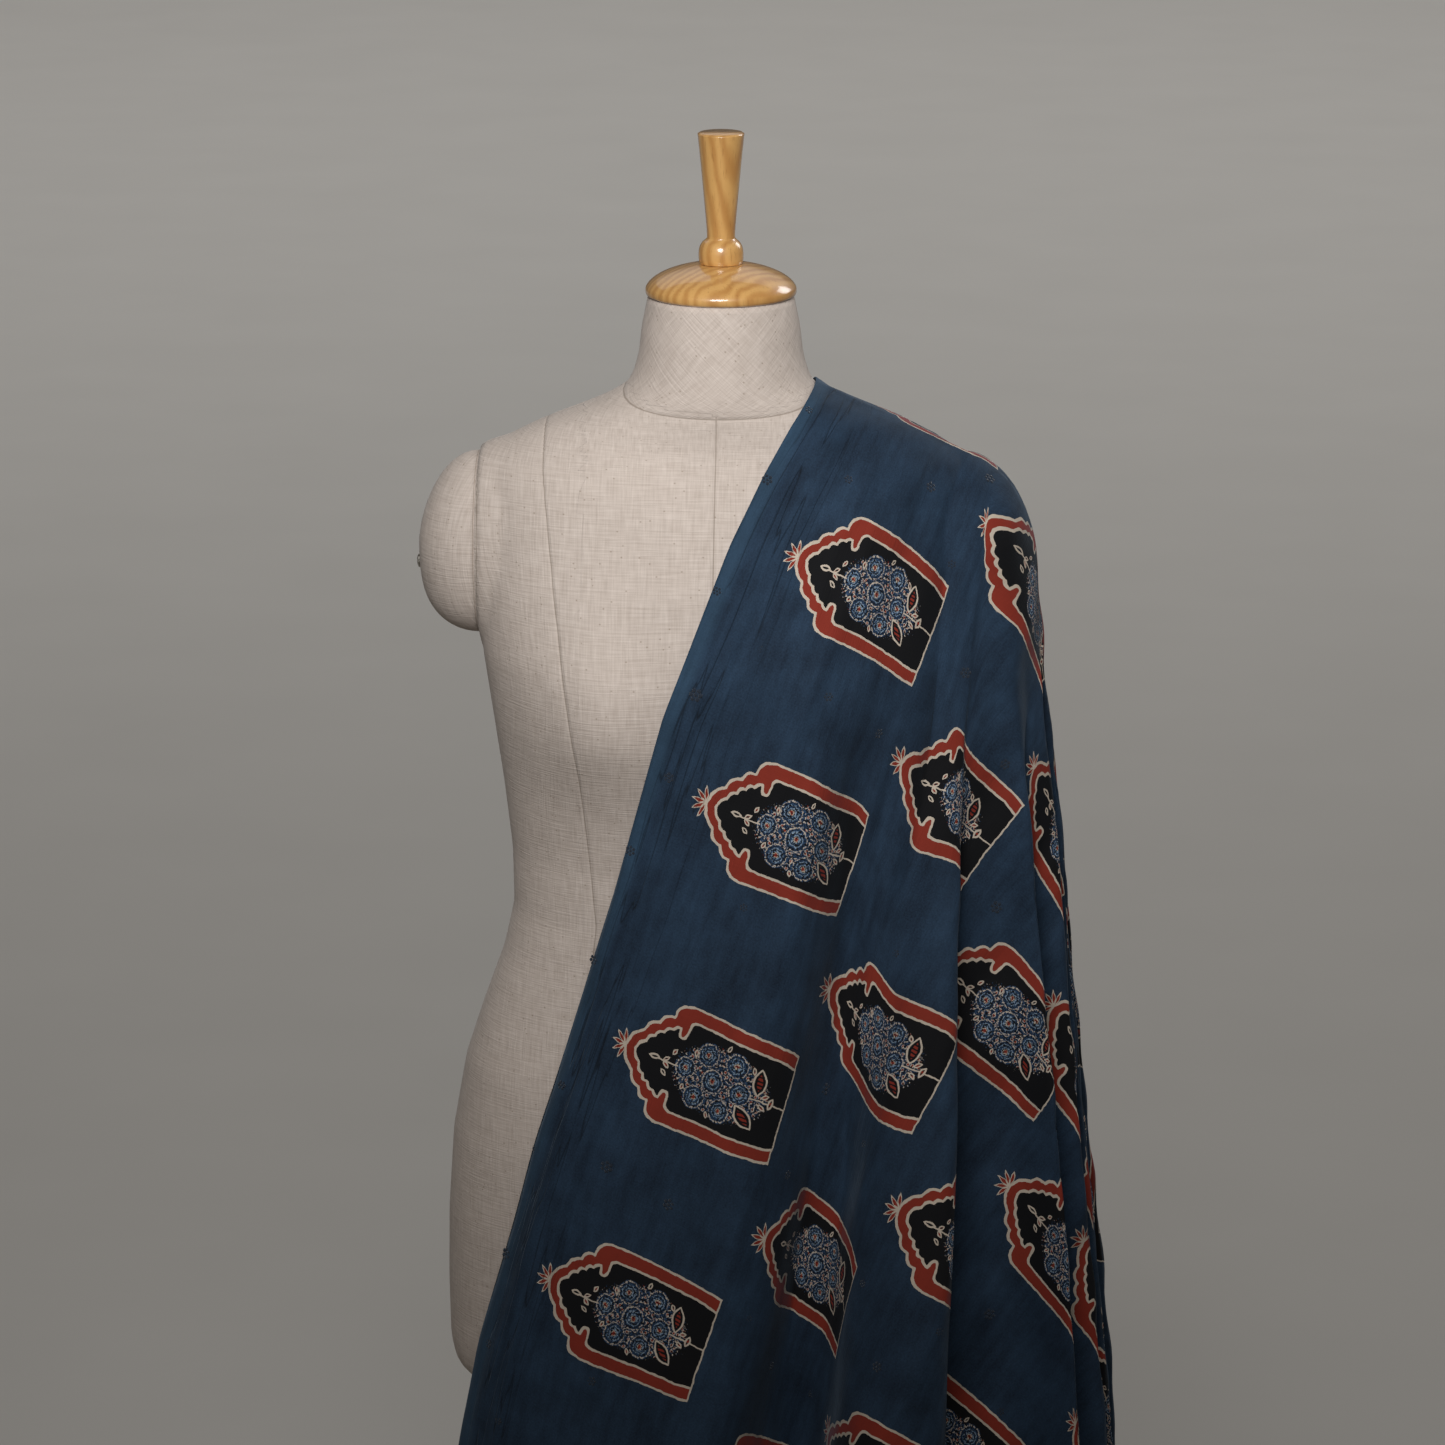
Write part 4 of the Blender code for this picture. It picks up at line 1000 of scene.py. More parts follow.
def linen(settings):
    """Undyed linen over padding, plain woven with thick and thin threads and dark flecks.

    The eye sees a warm off white with crossing slubs, straight on the body and turned 45
    degrees on the neck, flecks of straw, and fine sunken seams. Dry and matt.
    """
    finish, tree = new_material("undyed slub linen")
    grain = put(tree, "ShaderNodeUVMap", uv_map="grain")
    neck = put(tree, "ShaderNodeAttribute", attribute_name="neck_seam")
    on_neck = put(tree, MATHS, neck.outputs["Fac"], 0.0, operation="GREATER_THAN")
    turned = put(tree, "ShaderNodeMapping", grain, (0.03, 0.02, 0), (0, 0, math.radians(45)),
                 (1, 1, 1))
    place = put(tree, MIX, inputs={0: on_neck, 4: grain, 5: turned}, data_type="VECTOR").outputs[1]

    crossed = slub_weave(tree, place)
    tone = put(tree, RANGE, crossed, 1.15, 2.35, 0.0, 1.0)
    dark, light = linear(settings.linen_dark), linear(settings.linen_light)
    cloth = put(tree, MIX, inputs={0: tone, 6: dark, 7: light}, data_type="RGBA").outputs[2]
    fleck_place = put(tree, "ShaderNodeMapping", place, (0, 0, 0), (0, 0, 0.4), (330.0, 420.0, 1.0))
    flecks = put(tree, "ShaderNodeTexVoronoi", fleck_place, voronoi_dimensions="2D",
                 inputs={"Scale": 1.0, "Randomness": 1.0})
    rare = put(tree, MATHS, put(tree, "ShaderNodeSeparateXYZ", flecks.outputs["Color"]), 0.975,
               operation="GREATER_THAN")
    near = put(tree, RANGE, flecks.outputs["Distance"], 0.0, 0.34, 0.8, 0.0)
    fleck = put(tree, MATHS, rare, near, operation="MULTIPLY")
    flecked = put(tree, MIX, inputs={0: fleck, 6: cloth, 7: linear(settings.linen_fleck)},
                  data_type="RGBA").outputs[2]
    shade = put(tree, NOISE, place, inputs={"Scale": 9.0, "Detail": 3.0})
    shading = put(tree, RANGE, shade, 0.3, 0.7, 0.93, 1.0)
    mottled = put(tree, MIX, inputs={0: 1.0, 6: flecked, 7: shading}, data_type="RGBA",
                  blend_type="MULTIPLY").outputs[2]

    # Seams: a sunken line about 1 mm wide with the cloth rising either side, darkened along its
    # middle by painted shadow
    gap = seam_distance(tree)
    line = put(tree, RANGE, gap, 0.0001, 0.0007, 0.50, 0.0, interpolation_type="SMOOTHSTEP")
    seamed = put(tree, MIX, inputs={0: line, 6: mottled, 7: linear(settings.linen_seam)},
                 data_type="RGBA").outputs[2]
    groove = put(tree, RANGE, gap, 0.0, 0.0022, 0.0, 1.0, interpolation_type="SMOOTHSTEP")
    sunk = put(tree, "ShaderNodeBump", inputs={"Height": groove, "Strength": 0.6,
                                               "Distance": 0.0008})
    woven = put(tree, "ShaderNodeBump", inputs={"Height": crossed, "Strength": 0.5,
                                                "Distance": 0.0006, "Normal": sunk})
    close_material(tree, seamed, 0.92, woven, Sheen_Weight=0.10, Sheen_Roughness=0.5,
                   Specular_IOR_Level=0.2)
    return finish


def lacquered_wood(settings):
    """Turned hardwood, stained honey and clear lacquered.

    The eye sees wavy brown growth lines round a warm yellow wood, short dark pores along the
    grain and a hard, clear gloss over it.
    """
    finish, tree = new_material("clear lacquered turned hardwood")
    place = put(tree, "ShaderNodeTexCoord").outputs["Object"]
    # Growth rings about 7 mm apart round an axis well off the piece's own, grain up its height
    bent = put(tree, "ShaderNodeMapping", place, (0.045, 0.030, -0.19), (0.35, 0.22, 0.5),
               (1, 1, 0.22))
    wobble = put(tree, NOISE, bent, inputs={"Scale": 60.0, "Detail": 5.0, "Roughness": 0.6})
    rings = put(tree, "ShaderNodeTexWave", bent, wave_type="RINGS", rings_direction="Z",
                inputs={"Scale": 44.0, "Distortion": 6.5, "Detail": 4.0, "Detail Scale": 0.9})
    pores_place = put(tree, "ShaderNodeMapping", place, (0, 0, 0), (0, 0, 0), (900.0, 900.0, 55.0))
    pores = put(tree, NOISE, pores_place, inputs={"Scale": 1.0, "Detail": 2.0})
    tone = put(tree, MATHS, rings, 0.55, put(tree, MATHS, wobble, 0.45, operation="MULTIPLY"),
               operation="MULTIPLY_ADD")
    grain = put(tree, "ShaderNodeValToRGB", tone)
    grain.color_ramp.elements[0].color = linear(settings.wood_dark)
    grain.color_ramp.elements[0].position = 0.10
    grain.color_ramp.elements[1].color = linear(settings.wood_light)
    grain.color_ramp.elements[1].position = 0.72
    pore = put(tree, RANGE, pores, 0.60, 0.72, 0.0, 0.45)
    wood = put(tree, MIX, inputs={0: pore, 6: grain.outputs[0], 7: linear(PORE_BROWN)},
               data_type="RGBA").outputs[2]
    bump = put(tree, "ShaderNodeBump", inputs={"Height": tone, "Strength": 0.08,
                                               "Distance": 0.0004})
    close_material(tree, wood, 0.38, bump, Coat_Weight=1.0, Coat_Roughness=0.07, Coat_IOR=1.5)
    return finish


def enamelled_steel(settings):
    """Pressed steel with a black stoved enamel: an even satin skin with slight orange peel."""
    finish, tree = new_material("black stoved enamel on steel")
    place = put(tree, "ShaderNodeTexCoord").outputs["Object"]
    peel = put(tree, NOISE, place, inputs={"Scale": 420.0, "Detail": 2.0})
    scuffs = put(tree, NOISE, place, inputs={"Scale": 30.0, "Detail": 5.0})
    colour = put(tree, MIX, inputs={0: put(tree, RANGE, scuffs, 0.5, 0.8, 0.0, 0.5),
                                    6: linear(settings.enamel), 7: linear(ENAMEL_WORN)},
                 data_type="RGBA").outputs[2]
    rough = put(tree, RANGE, scuffs, 0.3, 0.7, 0.30, 0.46)
    bump = put(tree, "ShaderNodeBump", inputs={"Height": peel, "Strength": 0.10,
                                               "Distance": 0.0004})
    close_material(tree, colour, rough, bump)
    return finish


def nickel_plate(settings):
    """Bright nickel plating on drawn tube: a warm silver with faint lines round it."""
    finish, tree = new_material("bright nickel plate")
    place = put(tree, "ShaderNodeTexCoord").outputs["Object"]
    lines_place = put(tree, "ShaderNodeMapping", place, (0, 0, 0), (0, 0, 0), (30.0, 30.0, 1400.0))
    lines = put(tree, NOISE, lines_place, inputs={"Scale": 1.0, "Detail": 2.0})
    smears = put(tree, NOISE, place, inputs={"Scale": 25.0, "Detail": 3.0})
    colour = put(tree, MIX, inputs={0: smears, 6: linear(settings.nickel),
                                    7: linear(NICKEL_SMEARED)}, data_type="RGBA").outputs[2]
    rough = put(tree, RANGE, lines, 0.3, 0.7, 0.16, 0.30)
    bump = put(tree, "ShaderNodeBump", inputs={"Height": lines, "Strength": 0.05,
                                               "Distance": 0.0002})
    close_material(tree, colour, rough, bump, Metallic=1.0)
    return finish


# Mesh making
def add_mesh(name, verts, faces, finish):
    """One named object at the origin, smooth, linked to the scene."""
    mesh = bpy.data.meshes.new(name)
    mesh.from_pydata([tuple(map(float, v)) for v in verts], [], faces)
    mesh.update()
    mesh.materials.append(finish)
    mesh.shade_smooth()
    obj = bpy.data.objects.new(name, mesh)
    bpy.context.scene.collection.objects.link(obj)
    return obj


def ring_faces(rings, sides):
    """Quads between neighbouring rings, and a cap on each end."""
    faces = []
    for ring in range(rings - 1):
        for i in range(sides):
            j = (i + 1) % sides
            low = ring * sides
            high = low + sides
            faces.append((low + i, low + j, high + j, high + i))
    faces.append(tuple(reversed(range(sides))))
    faces.append(tuple(range((rings - 1) * sides, rings * sides)))
    return faces


def point_map(mesh, name, places):
    """A UV map from a place for each point."""
    layer = mesh.uv_layers.new(name=name)
    loops = np.array([loop.vertex_index for loop in mesh.loops])
    layer.data.foreach_set("uv", places[loops].astype(np.float32).ravel())


def apply_modifiers(obj):
    """Bakes an object's modifiers into its mesh."""
    evaluated = obj.evaluated_get(bpy.context.evaluated_depsgraph_get())
    mesh = bpy.data.meshes.new_from_object(evaluated)
    obj.modifiers.clear()
    obj.data = mesh
    return obj


def hand_over(piece, slot, *nodes):
    """Rides a finished piece on the frame in place of its CAD nodes."""
    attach(piece, ROOT)
    if nodes:
        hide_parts(*nodes)


def princess_line(z):
    """Distance of the princess seam from the middle at a height."""
    table = np.array(PRINCESS_SEAM)
    return np.interp(z, table[:, 0], table[:, 1])


def neck_line(angle):
    """Height of the seam at the foot of the neck, by angle round the form."""
    front = np.clip(-np.sin(angle), 0, 1) ** NECK_SEAM_BEND
    back = np.clip(np.sin(angle), 0, 1) ** NECK_SEAM_BEND
    return (NECK_SEAM_SIDE + (NECK_SEAM_FRONT - NECK_SEAM_SIDE) * front
            + (NECK_SEAM_BACK - NECK_SEAM_SIDE) * back)


def cap_section(y, z):
    """Size of the arm cap's own section through a place, 1 on the cap's edge."""
    return np.hypot((y - CAP_Y) / CAP_HALF_DEPTH, (z - CAP_Z) / CAP_HALF_HEIGHT)


def even_sections(ring_gap):
    """Torso sections evened out up and down it, and how far along its outline they lie."""
    fine = np.arange(TORSO_SECTIONS[0][0], NECK_TOP + 1e-6, FINE_STEP)
    sections = np.stack([fine, *torso_section(fine)], axis=1)
    kernel = np.exp(-0.5 * (np.arange(-EVEN_REACH, EVEN_REACH + 1) / EVEN_WIDTH) ** 2)
    kernel /= kernel.sum()
    for k in range(1, 5):
        ahead = 2 * sections[0, k] - sections[1:EVEN_REACH + 1, k][::-1]
        behind = 2 * sections[-1, k] - sections[-EVEN_REACH - 1:-1, k][::-1]
        padded = np.concatenate([ahead, sections[:, k], behind])
        sections[:, k] = np.convolve(padded, kernel, "valid")
    outline = np.hypot(np.diff(sections[:, 0]), np.diff(sections[:, 1]))
    run = np.concatenate([[0], np.cumsum(outline)])
    along = np.linspace(0, run[-1], int(run[-1] / ring_gap))
    rows = np.stack([np.interp(along, run, sections[:, k]) for k in range(5)], axis=1)
    return rows, along


def torso_surface(rows, angle):
    """Rings of places on the torso, one for each of its sections."""
    c, s = np.cos(angle), np.sin(angle)
    z = np.repeat(rows[:, :1], len(angle), axis=1)
    depth = np.where(s > 0, rows[:, 3:4], rows[:, 2:3])
    power = 2 / rows[:, 4:5]
    x = rows[:, 1:2] * np.sign(c) * np.abs(c) ** power
    y = depth * np.sign(s) * np.abs(s) ** power
    y = np.where(s < 0, y - bust(x, z) * np.minimum(1.0, np.abs(y) / (BUST_EDGE * depth)), y)
    # The bare side's armhole is closed flat, and its cap stands out of it
    flat = 1 - smooth_step(*ARMHOLE_FLAT, cap_section(y, z))
    x = np.where((x < -CAP_ROOT_X) & (x > -ARMHOLE_X), x - flat * (ARMHOLE_X + x), x)
    return x, y, z


def torso_seams(x, y, z, angle):
    """Signed distance in metres from each seam of the torso."""
    neck = z - neck_line(np.broadcast_to(angle, z.shape))
    body = neck < BODY_SEAM_END
    armhole = (cap_section(y, z) - ARMHOLE_SEAM) * ARMHOLE_METRES
    distances = (
        np.where(body, x, NO_SEAM),
        np.where(body, np.abs(x) - princess_line(z), NO_SEAM),
        np.where(body & (np.abs(x) > SIDE_SEAM_FROM), y - CAP_Y, NO_SEAM),
        neck,
        np.where(np.abs(x) > CAP_ROOT_X, armhole, NO_SEAM),
    )
    return dict(zip(SEAMS, distances))


def dented(places, cut, side):
    """A half's places with soft waves, and in front its creases, raised on the outer face."""
    rise = soft_waves(cut) + (pressed(cut) if side > 0 else 0)
    distance = np.hypot(cut[..., 0], cut[..., 1] - cut[:, :1, 1])
    rise = np.maximum(rise, -DENT_LIMIT) * smooth_step(*RIDGE_CALM, distance)
    to_side = 1 - np.linspace(0, 1, len(places))
    rise = rise * smooth_step(0, SIDE_CALM, to_side)[:, None]
    return places + rise[..., None] * outward(places, side)


def whole_sheet(halves):
    """Places, cut places and faces of both halves, joined at the ridge and at the side."""
    columns, levels = halves[0][1].shape[:2]
    count = columns * levels
    index = np.arange(count).reshape(columns, levels)
    back = index + count
    back[:, 0] = index[:, 0]
    back[-1, :] = index[-1, :]
    used = np.concatenate([index.ravel(), np.setdiff1d(back.ravel(), index.ravel())])
    places = np.concatenate([half[0].reshape(-1, 3) for half in halves])[used]
    cut = np.concatenate([half[1].reshape(-1, 2) for half in halves])[used]
    renumber = np.zeros(2 * count, int)
    renumber[used] = np.arange(len(used))
    faces = []
    for grid, side in ((renumber[index], 1), (renumber[back], -1)):
        for i in range(columns - 1):
            for k in range(levels - 1):
                corners = (grid[i, k], grid[i + 1, k], grid[i + 1, k + 1], grid[i, k + 1])
                face = tuple(dict.fromkeys(int(c) for c in corners[::-side]))
                if len(face) > 2:
                    faces.append(face)
    return places, cut, faces


# Settings
class DRAPE_PG_cloth(bpy.types.PropertyGroup):
    """Sizes and colours of the cloth and its knots"""
    panel_steps: bpy.props.IntProperty(
        name="Panel columns", description="Columns across the panel", default=72, min=12)
    side_steps: bpy.props.IntProperty(
        name="Side columns", description="Columns from the panel to the side", default=128, min=12)
    drop_steps: bpy.props.IntProperty(
        name="Rows", description="Rows down each fall line", default=112, min=12)
    thickness: bpy.props.FloatProperty(
        name="Thickness", description="Thickness of the cotton", default=0.0007, unit="LENGTH",
        precision=4)
    gap: bpy.props.FloatProperty(
        name="Clearance", description="Middle of the sheet to the form", default=0.0030,
        unit="LENGTH", precision=4)
    indigo_deep: bpy.props.StringProperty(
        name="Deep indigo", description="sRGB hex of the deepest ground", default="162333")
    indigo_light: bpy.props.StringProperty(
        name="Light indigo", description="sRGB hex of the palest ground", default="2d435a")
    madder: bpy.props.StringProperty(
        name="Madder", description="sRGB hex of the red band", default="8c3123")
    cream: bpy.props.StringProperty(
        name="Cream", description="sRGB hex of the resist lines", default="cdbfae")
    iron_black: bpy.props.StringProperty(
        name="Iron black", description="sRGB hex of the niche's field", default="0d0d10")
    motif_blue: bpy.props.StringProperty(
        name="Motif blue", description="sRGB hex of the petals", default="2a4564")
    pale_blue: bpy.props.StringProperty(
        name="Pale blue", description="sRGB hex of the petals' edges", default="8ea3b8")
    knot_spacing: bpy.props.FloatProperty(
        name="Knot spacing", description="Least distance between yarn knots", default=0.050,
        unit="LENGTH")
    knot_size: bpy.props.FloatProperty(
        name="Knot size", description="Radius of a yarn knot", default=0.0043, unit="LENGTH",
        precision=4)


class DRAPE_PG_form(bpy.types.PropertyGroup):
    """Fineness and colours of the linen form"""
    torso_sides: bpy.props.IntProperty(
        name="Columns", description="Columns round the torso", default=180, min=24)
    ring_gap: bpy.props.FloatProperty(
        name="Ring spacing", description="Height between rings", default=0.0050, unit="LENGTH",
        precision=4)
    linen_light: bpy.props.StringProperty(
        name="Light linen", description="sRGB hex of the pale threads", default="dacdc3")
    linen_dark: bpy.props.StringProperty(
        name="Dark linen", description="sRGB hex of the dark threads", default="b9aba0")
    linen_fleck: bpy.props.StringProperty(
        name="Fleck", description="sRGB hex of the straw flecks", default="8a7865")
    linen_seam: bpy.props.StringProperty(
        name="Seam", description="sRGB hex of the seam's shadow", default="6a5947")


class DRAPE_PG_fittings(bpy.types.PropertyGroup):
    """Colours of the turned wood and of the stand"""
    wood_light: bpy.props.StringProperty(
        name="Light wood", description="sRGB hex of the early wood", default="d6a562")
    wood_dark: bpy.props.StringProperty(
        name="Dark wood", description="sRGB hex of the growth lines", default="b98345")
    enamel: bpy.props.StringProperty(
        name="Enamel", description="sRGB hex of the stand's enamel", default="1b1b1d")
    nickel: bpy.props.StringProperty(
        name="Nickel", description="sRGB hex of the plating", default="cfcac0")
    turned_sides: bpy.props.IntProperty(
        name="Columns", description="Columns round a turned piece", default=96, min=16)


class DRAPE_PG_stage(bpy.types.PropertyGroup):
    """Floor and light"""
    floor: bpy.props.StringProperty(
        name="Floor", description="sRGB hex of the floor", default="d9d6d1")
    key_power: bpy.props.FloatProperty(
        name="Key light", description="Power of the soft box in watts", default=3.0)
    fill_power: bpy.props.FloatProperty(
        name="Fill light", description="Strength of the room's light", default=0.10)


# Operators
class DRAPE_OT_cloth(bpy.types.Operator):
    """Make the printed cotton length over the shoulder"""
    bl_idname = "drape.cloth"
    bl_label = "Printed cloth"

    def execute(self, context):
        settings = context.scene.drape_cloth
        along = column_places(settings.panel_steps, settings.side_steps)
        halves = []
        for rows, side in ((FRONT_FOLDS, 1), (BACK_FOLDS, -1)):
            places, cut = cloth_grid(rows, side, along, settings.drop_steps, settings.gap)
            halves.append((dented(places, cut, side), cut))
        places, cut, faces = whole_sheet(halves)
        cloth = add_mesh("printed_cloth", places, faces, printed_cotton(settings))
        point_map(cloth.data, "cut", np.stack([cut[:, 0] / CLOTH_LENGTH + 0.5,
                                               cut[:, 1] / CLOTH_WIDTH], axis=1))
        ground = cloth.data.attributes.new("ground", "FLOAT", "POINT")
        ground.data.foreach_set("value", on_ground(cut).astype(np.float32))
        face = cloth.copy()
        face.data = cloth.data.copy()
        face.name = "knot_ground"
        context.scene.collection.objects.link(face)
        cloth.data.attributes.remove(cloth.data.attributes["ground"])
        wall = cloth.modifiers.new("thickness", "SOLIDIFY")
        wall.thickness = settings.thickness
        wall.offset = 0.0
        wall.use_quality_normals = True
        apply_modifiers(cloth)
        cloth.data.shade_smooth()
        hand_over(cloth, "printed_cotton", "cloth")
        return {"FINISHED"}


def cotton_yarn():
    """Soft spun cotton in the ground's own blue, a little deeper: matt, with a short nap."""
    finish, tree = new_material("indigo cotton yarn")
    place = put(tree, "ShaderNodeTexCoord").outputs["Object"]
    twist = put(tree, NOISE, place, inputs={"Scale": 1500.0, "Detail": 2.0})
    colour = put(tree, MIX, inputs={0: twist, 6: linear(YARN_DEEP), 7: linear(YARN_LIGHT)},
                 data_type="RGBA").outputs[2]
    nap = put(tree, "ShaderNodeBump", inputs={"Height": twist, "Strength": 0.5,
                                              "Distance": 0.0004})
    close_material(tree, colour, 0.9, nap, Sheen_Weight=0.2)
    return finish


def knot_nodes():
    """Node tree that scatters yarn knots over the plain ground, and its sockets by name."""
    nodes = bpy.data.node_groups.new("yarn knots", "GeometryNodeTree")
    sockets = {}
    for name, kind in (("Cloth", "NodeSocketGeometry"), ("Spacing", "NodeSocketFloat"),
                       ("Size", "NodeSocketFloat"), ("Seed", "NodeSocketInt"),
                       ("Yarn", "NodeSocketMaterial")):
        sockets[name] = nodes.interface.new_socket(name, in_out="INPUT", socket_type=kind)
    nodes.interface.new_socket("Knots", in_out="OUTPUT", socket_type="NodeSocketGeometry")
    given = put(nodes, "NodeGroupInput")
    ground = put(nodes, "GeometryNodeInputNamedAttribute", "ground")
    spots = put(nodes, "GeometryNodeDistributePointsOnFaces",
                inputs={"Mesh": given.outputs["Cloth"],
                        "Distance Min": given.outputs["Spacing"], "Density Max": KNOT_DENSITY,
                        "Density Factor": ground.outputs[0], "Seed": given.outputs["Seed"]},
                distribute_method="POISSON")
    # One knot: six small loops of yarn round a seventh, on a circle of two thirds of its radius
    ring = put(nodes, "GeometryNodeMeshCircle", inputs={"Vertices": 6, "Radius": 0.68})
    middle = put(nodes, "GeometryNodeMeshLine", inputs={"Count": 1})
    petals = put(nodes, "GeometryNodeJoinGeometry", ring)
    nodes.links.new(middle.outputs[0], petals.inputs[0])
    loop = put(nodes, "GeometryNodeMeshIcoSphere", inputs={"Radius": 0.36, "Subdivisions": 1})
    knot = put(nodes, "GeometryNodeInstanceOnPoints",
               inputs={"Points": petals, "Instance": loop, "Scale": (1.0, 1.0, 0.55)})
    spin = put(nodes, "FunctionNodeRandomValue", data_type="FLOAT",
               inputs={2: 0.0, 3: 2 * math.pi, "Seed": given.outputs["Seed"]})
    turn = put(nodes, "FunctionNodeAxisAngleToRotation", (0, 0, 1), spin.outputs[1])
    facing = put(nodes, "FunctionNodeRotateRotation", spots.outputs["Rotation"], turn,
                 rotation_space="LOCAL")
    vary = put(nodes, "FunctionNodeRandomValue", data_type="FLOAT",
               inputs={2: 0.65, 3: 1.2, "Seed": given.outputs["Seed"]})
    scale = put(nodes, MATHS, vary.outputs[1], given.outputs["Size"], operation="MULTIPLY")
    placed = put(nodes, "GeometryNodeInstanceOnPoints",
                 inputs={"Points": spots.outputs["Points"], "Instance": knot,
                         "Rotation": facing, "Scale": scale})
    real = put(nodes, "GeometryNodeRealizeInstances", placed)
    dyed = put(nodes, "GeometryNodeSetMaterial",
               inputs={"Geometry": real, "Material": given.outputs["Yarn"]})
    put(nodes, "NodeGroupOutput", dyed)
    return nodes, sockets


class DRAPE_OT_knots(bpy.types.Operator):
    """Scatter the small yarn knots of the weave over the cloth's outer face"""
    bl_idname = "drape.knots"
    bl_label = "Yarn knots"

    def execute(self, context):
        settings = context.scene.drape_cloth
        finish = cotton_yarn()
        nodes, sockets = knot_nodes()
        source = bpy.data.objects["knot_ground"]
        scatter = source.modifiers.new("yarn knots", "NODES")
        scatter.node_group = nodes
        for name, value in (("Spacing", settings.knot_spacing), ("Size", settings.knot_size),
                            ("Seed", KNOT_SEED), ("Yarn", finish)):
            scatter[sockets[name].identifier] = value
        evaluated = source.evaluated_get(context.evaluated_depsgraph_get())
        mesh = bpy.data.meshes.new_from_object(evaluated)
        bpy.data.objects.remove(source)
        mesh.shade_smooth()
        knots = bpy.data.objects.new("yarn_knots", mesh)
        context.scene.collection.objects.link(knots)
        hand_over(knots, "printed_cotton")
        return {"FINISHED"}


class DRAPE_OT_torso(bpy.types.Operator):
    """Make the linen covered torso and neck with their seams"""
    bl_idname = "drape.torso"
    bl_label = "Linen torso"

    def execute(self, context):
        settings = context.scene.drape_form
        rows, along = even_sections(settings.ring_gap)
        sides = settings.torso_sides
        angle = 2 * np.pi * np.arange(sides) / sides
        x, y, z = torso_surface(rows, angle)
        seams = torso_seams(x, y, z, angle)
        gap = np.minimum.reduce([np.abs(distance) for distance in seams.values()])
        sunk = SEAM_DEPTH * np.exp(-(gap / SEAM_WIDTH) ** 2)
        radius = np.maximum(np.hypot(x, y), 1e-6)
        x, y = x * (1 - sunk / radius), y * (1 - sunk / radius)
        verts = np.stack([x, y, z], axis=2).reshape(-1, 3)
        torso = add_mesh("linen_torso", verts, ring_faces(len(rows), sides), linen(settings))
        seam_attributes(torso.data, {name: value.ravel() for name, value in seams.items()})
        # The linen's grain runs round the form from the middle of its front, and up it
        girth = np.hypot(np.diff(x, axis=1, append=x[:, :1]), np.diff(y, axis=1, append=y[:, :1]))
        round_form = np.cumsum(girth, axis=1) - girth
        front = 3 * sides // 4
        across = round_form - round_form[:, front:front + 1]
        upward = np.broadcast_to(along[:, None], x.shape)
        point_map(torso.data, "grain", np.stack([across, upward], axis=2).reshape(-1, 2))
        hand_over(torso, "linen", "torso")
        return {"FINISHED"}


class DRAPE_OT_arm_caps(bpy.types.Operator):
    """Make the two padded linen caps that close the armholes"""
    bl_idname = "drape.arm_caps"
    bl_label = "Arm caps"

    def execute(self, context):
        finish = bpy.data.materials["undyed slub linen"]
        turn = 2 * np.pi * np.arange(CAP_SIDES) / CAP_SIDES
        for side, name, node in ((1, "linen_cap_left", "arm_cap_left"),
                                 (-1, "linen_cap_right", "arm_cap_right")):
            verts, seam, grain = [], [], []
            for ring in range(CAP_RINGS):
                share = max(ring - CAP_ROOT_RINGS, 0) / (CAP_RINGS - CAP_ROOT_RINGS - 1)
                angle = share * math.pi / 2 * CAP_CLOSED
                root = CAP_ROOT_X + (CAP_SEAM_X - CAP_ROOT_X) * ring / CAP_ROOT_RINGS
                dome = CAP_SEAM_X + CAP_BULGE * math.sin(angle)
                out = dome if ring >= CAP_ROOT_RINGS else root
                deep, high, low = cap_sizes(math.sin(angle))
                tall = np.where(np.sin(turn) > 0, high, low)
                y = CAP_Y + deep * np.cos(turn)
                z = CAP_Z + tall * np.sin(turn)
                verts.append(np.stack([np.full(CAP_SIDES, side * out), y, z], axis=1))
                seam.append(np.full(CAP_SIDES, out - ARMHOLE_X - CAP_SEAM_SET))
                across, outward_share = CAP_GRAIN
                grain.append(np.stack([y * across + out * outward_share, z], axis=1))
            cap = add_mesh(name, np.concatenate(verts), ring_faces(CAP_RINGS, CAP_SIDES), finish)
            far = np.full(CAP_SIDES * CAP_RINGS, NO_SEAM)
            seam_attributes(cap.data, {**dict.fromkeys(SEAMS, far), "neck_seam": -far,
                                       "centre_seam": np.concatenate(seam)})
            point_map(cap.data, "grain", np.concatenate(grain))
            if side > 0:
                cap.data.flip_normals()
            hand_over(cap, "linen", node)
        return {"FINISHED"}


def turned_piece(name, outline, sides, finish):
    """A piece turned about the upright axis from radius and height, bottom first."""
    angle = 2 * np.pi * np.arange(sides) / sides
    verts = [(r * math.cos(a), r * math.sin(a), z) for r, z in outline for a in angle]
    return add_mesh(name, verts, ring_faces(len(outline), sides), finish)


class DRAPE_OT_wood(bpy.types.Operator):
    """Make the turned wooden neck cap and its handle"""
    bl_idname = "drape.wood"
    bl_label = "Turned wood"

    def execute(self, context):
        settings = context.scene.drape_fittings
        finish = lacquered_wood(settings)
        for name, outline, node in (("wooden_neck_cap", NECK_CAP_OUTLINE, "neck_cap"),
                                    ("wooden_handle", FINIAL_OUTLINE, "finial")):
            curve = smooth_curve(outline, TURNED_STEPS)
            piece = turned_piece(name, curve, settings.turned_sides, finish)
            hand_over(piece, "lacquered_wood", node)
        return {"FINISHED"}


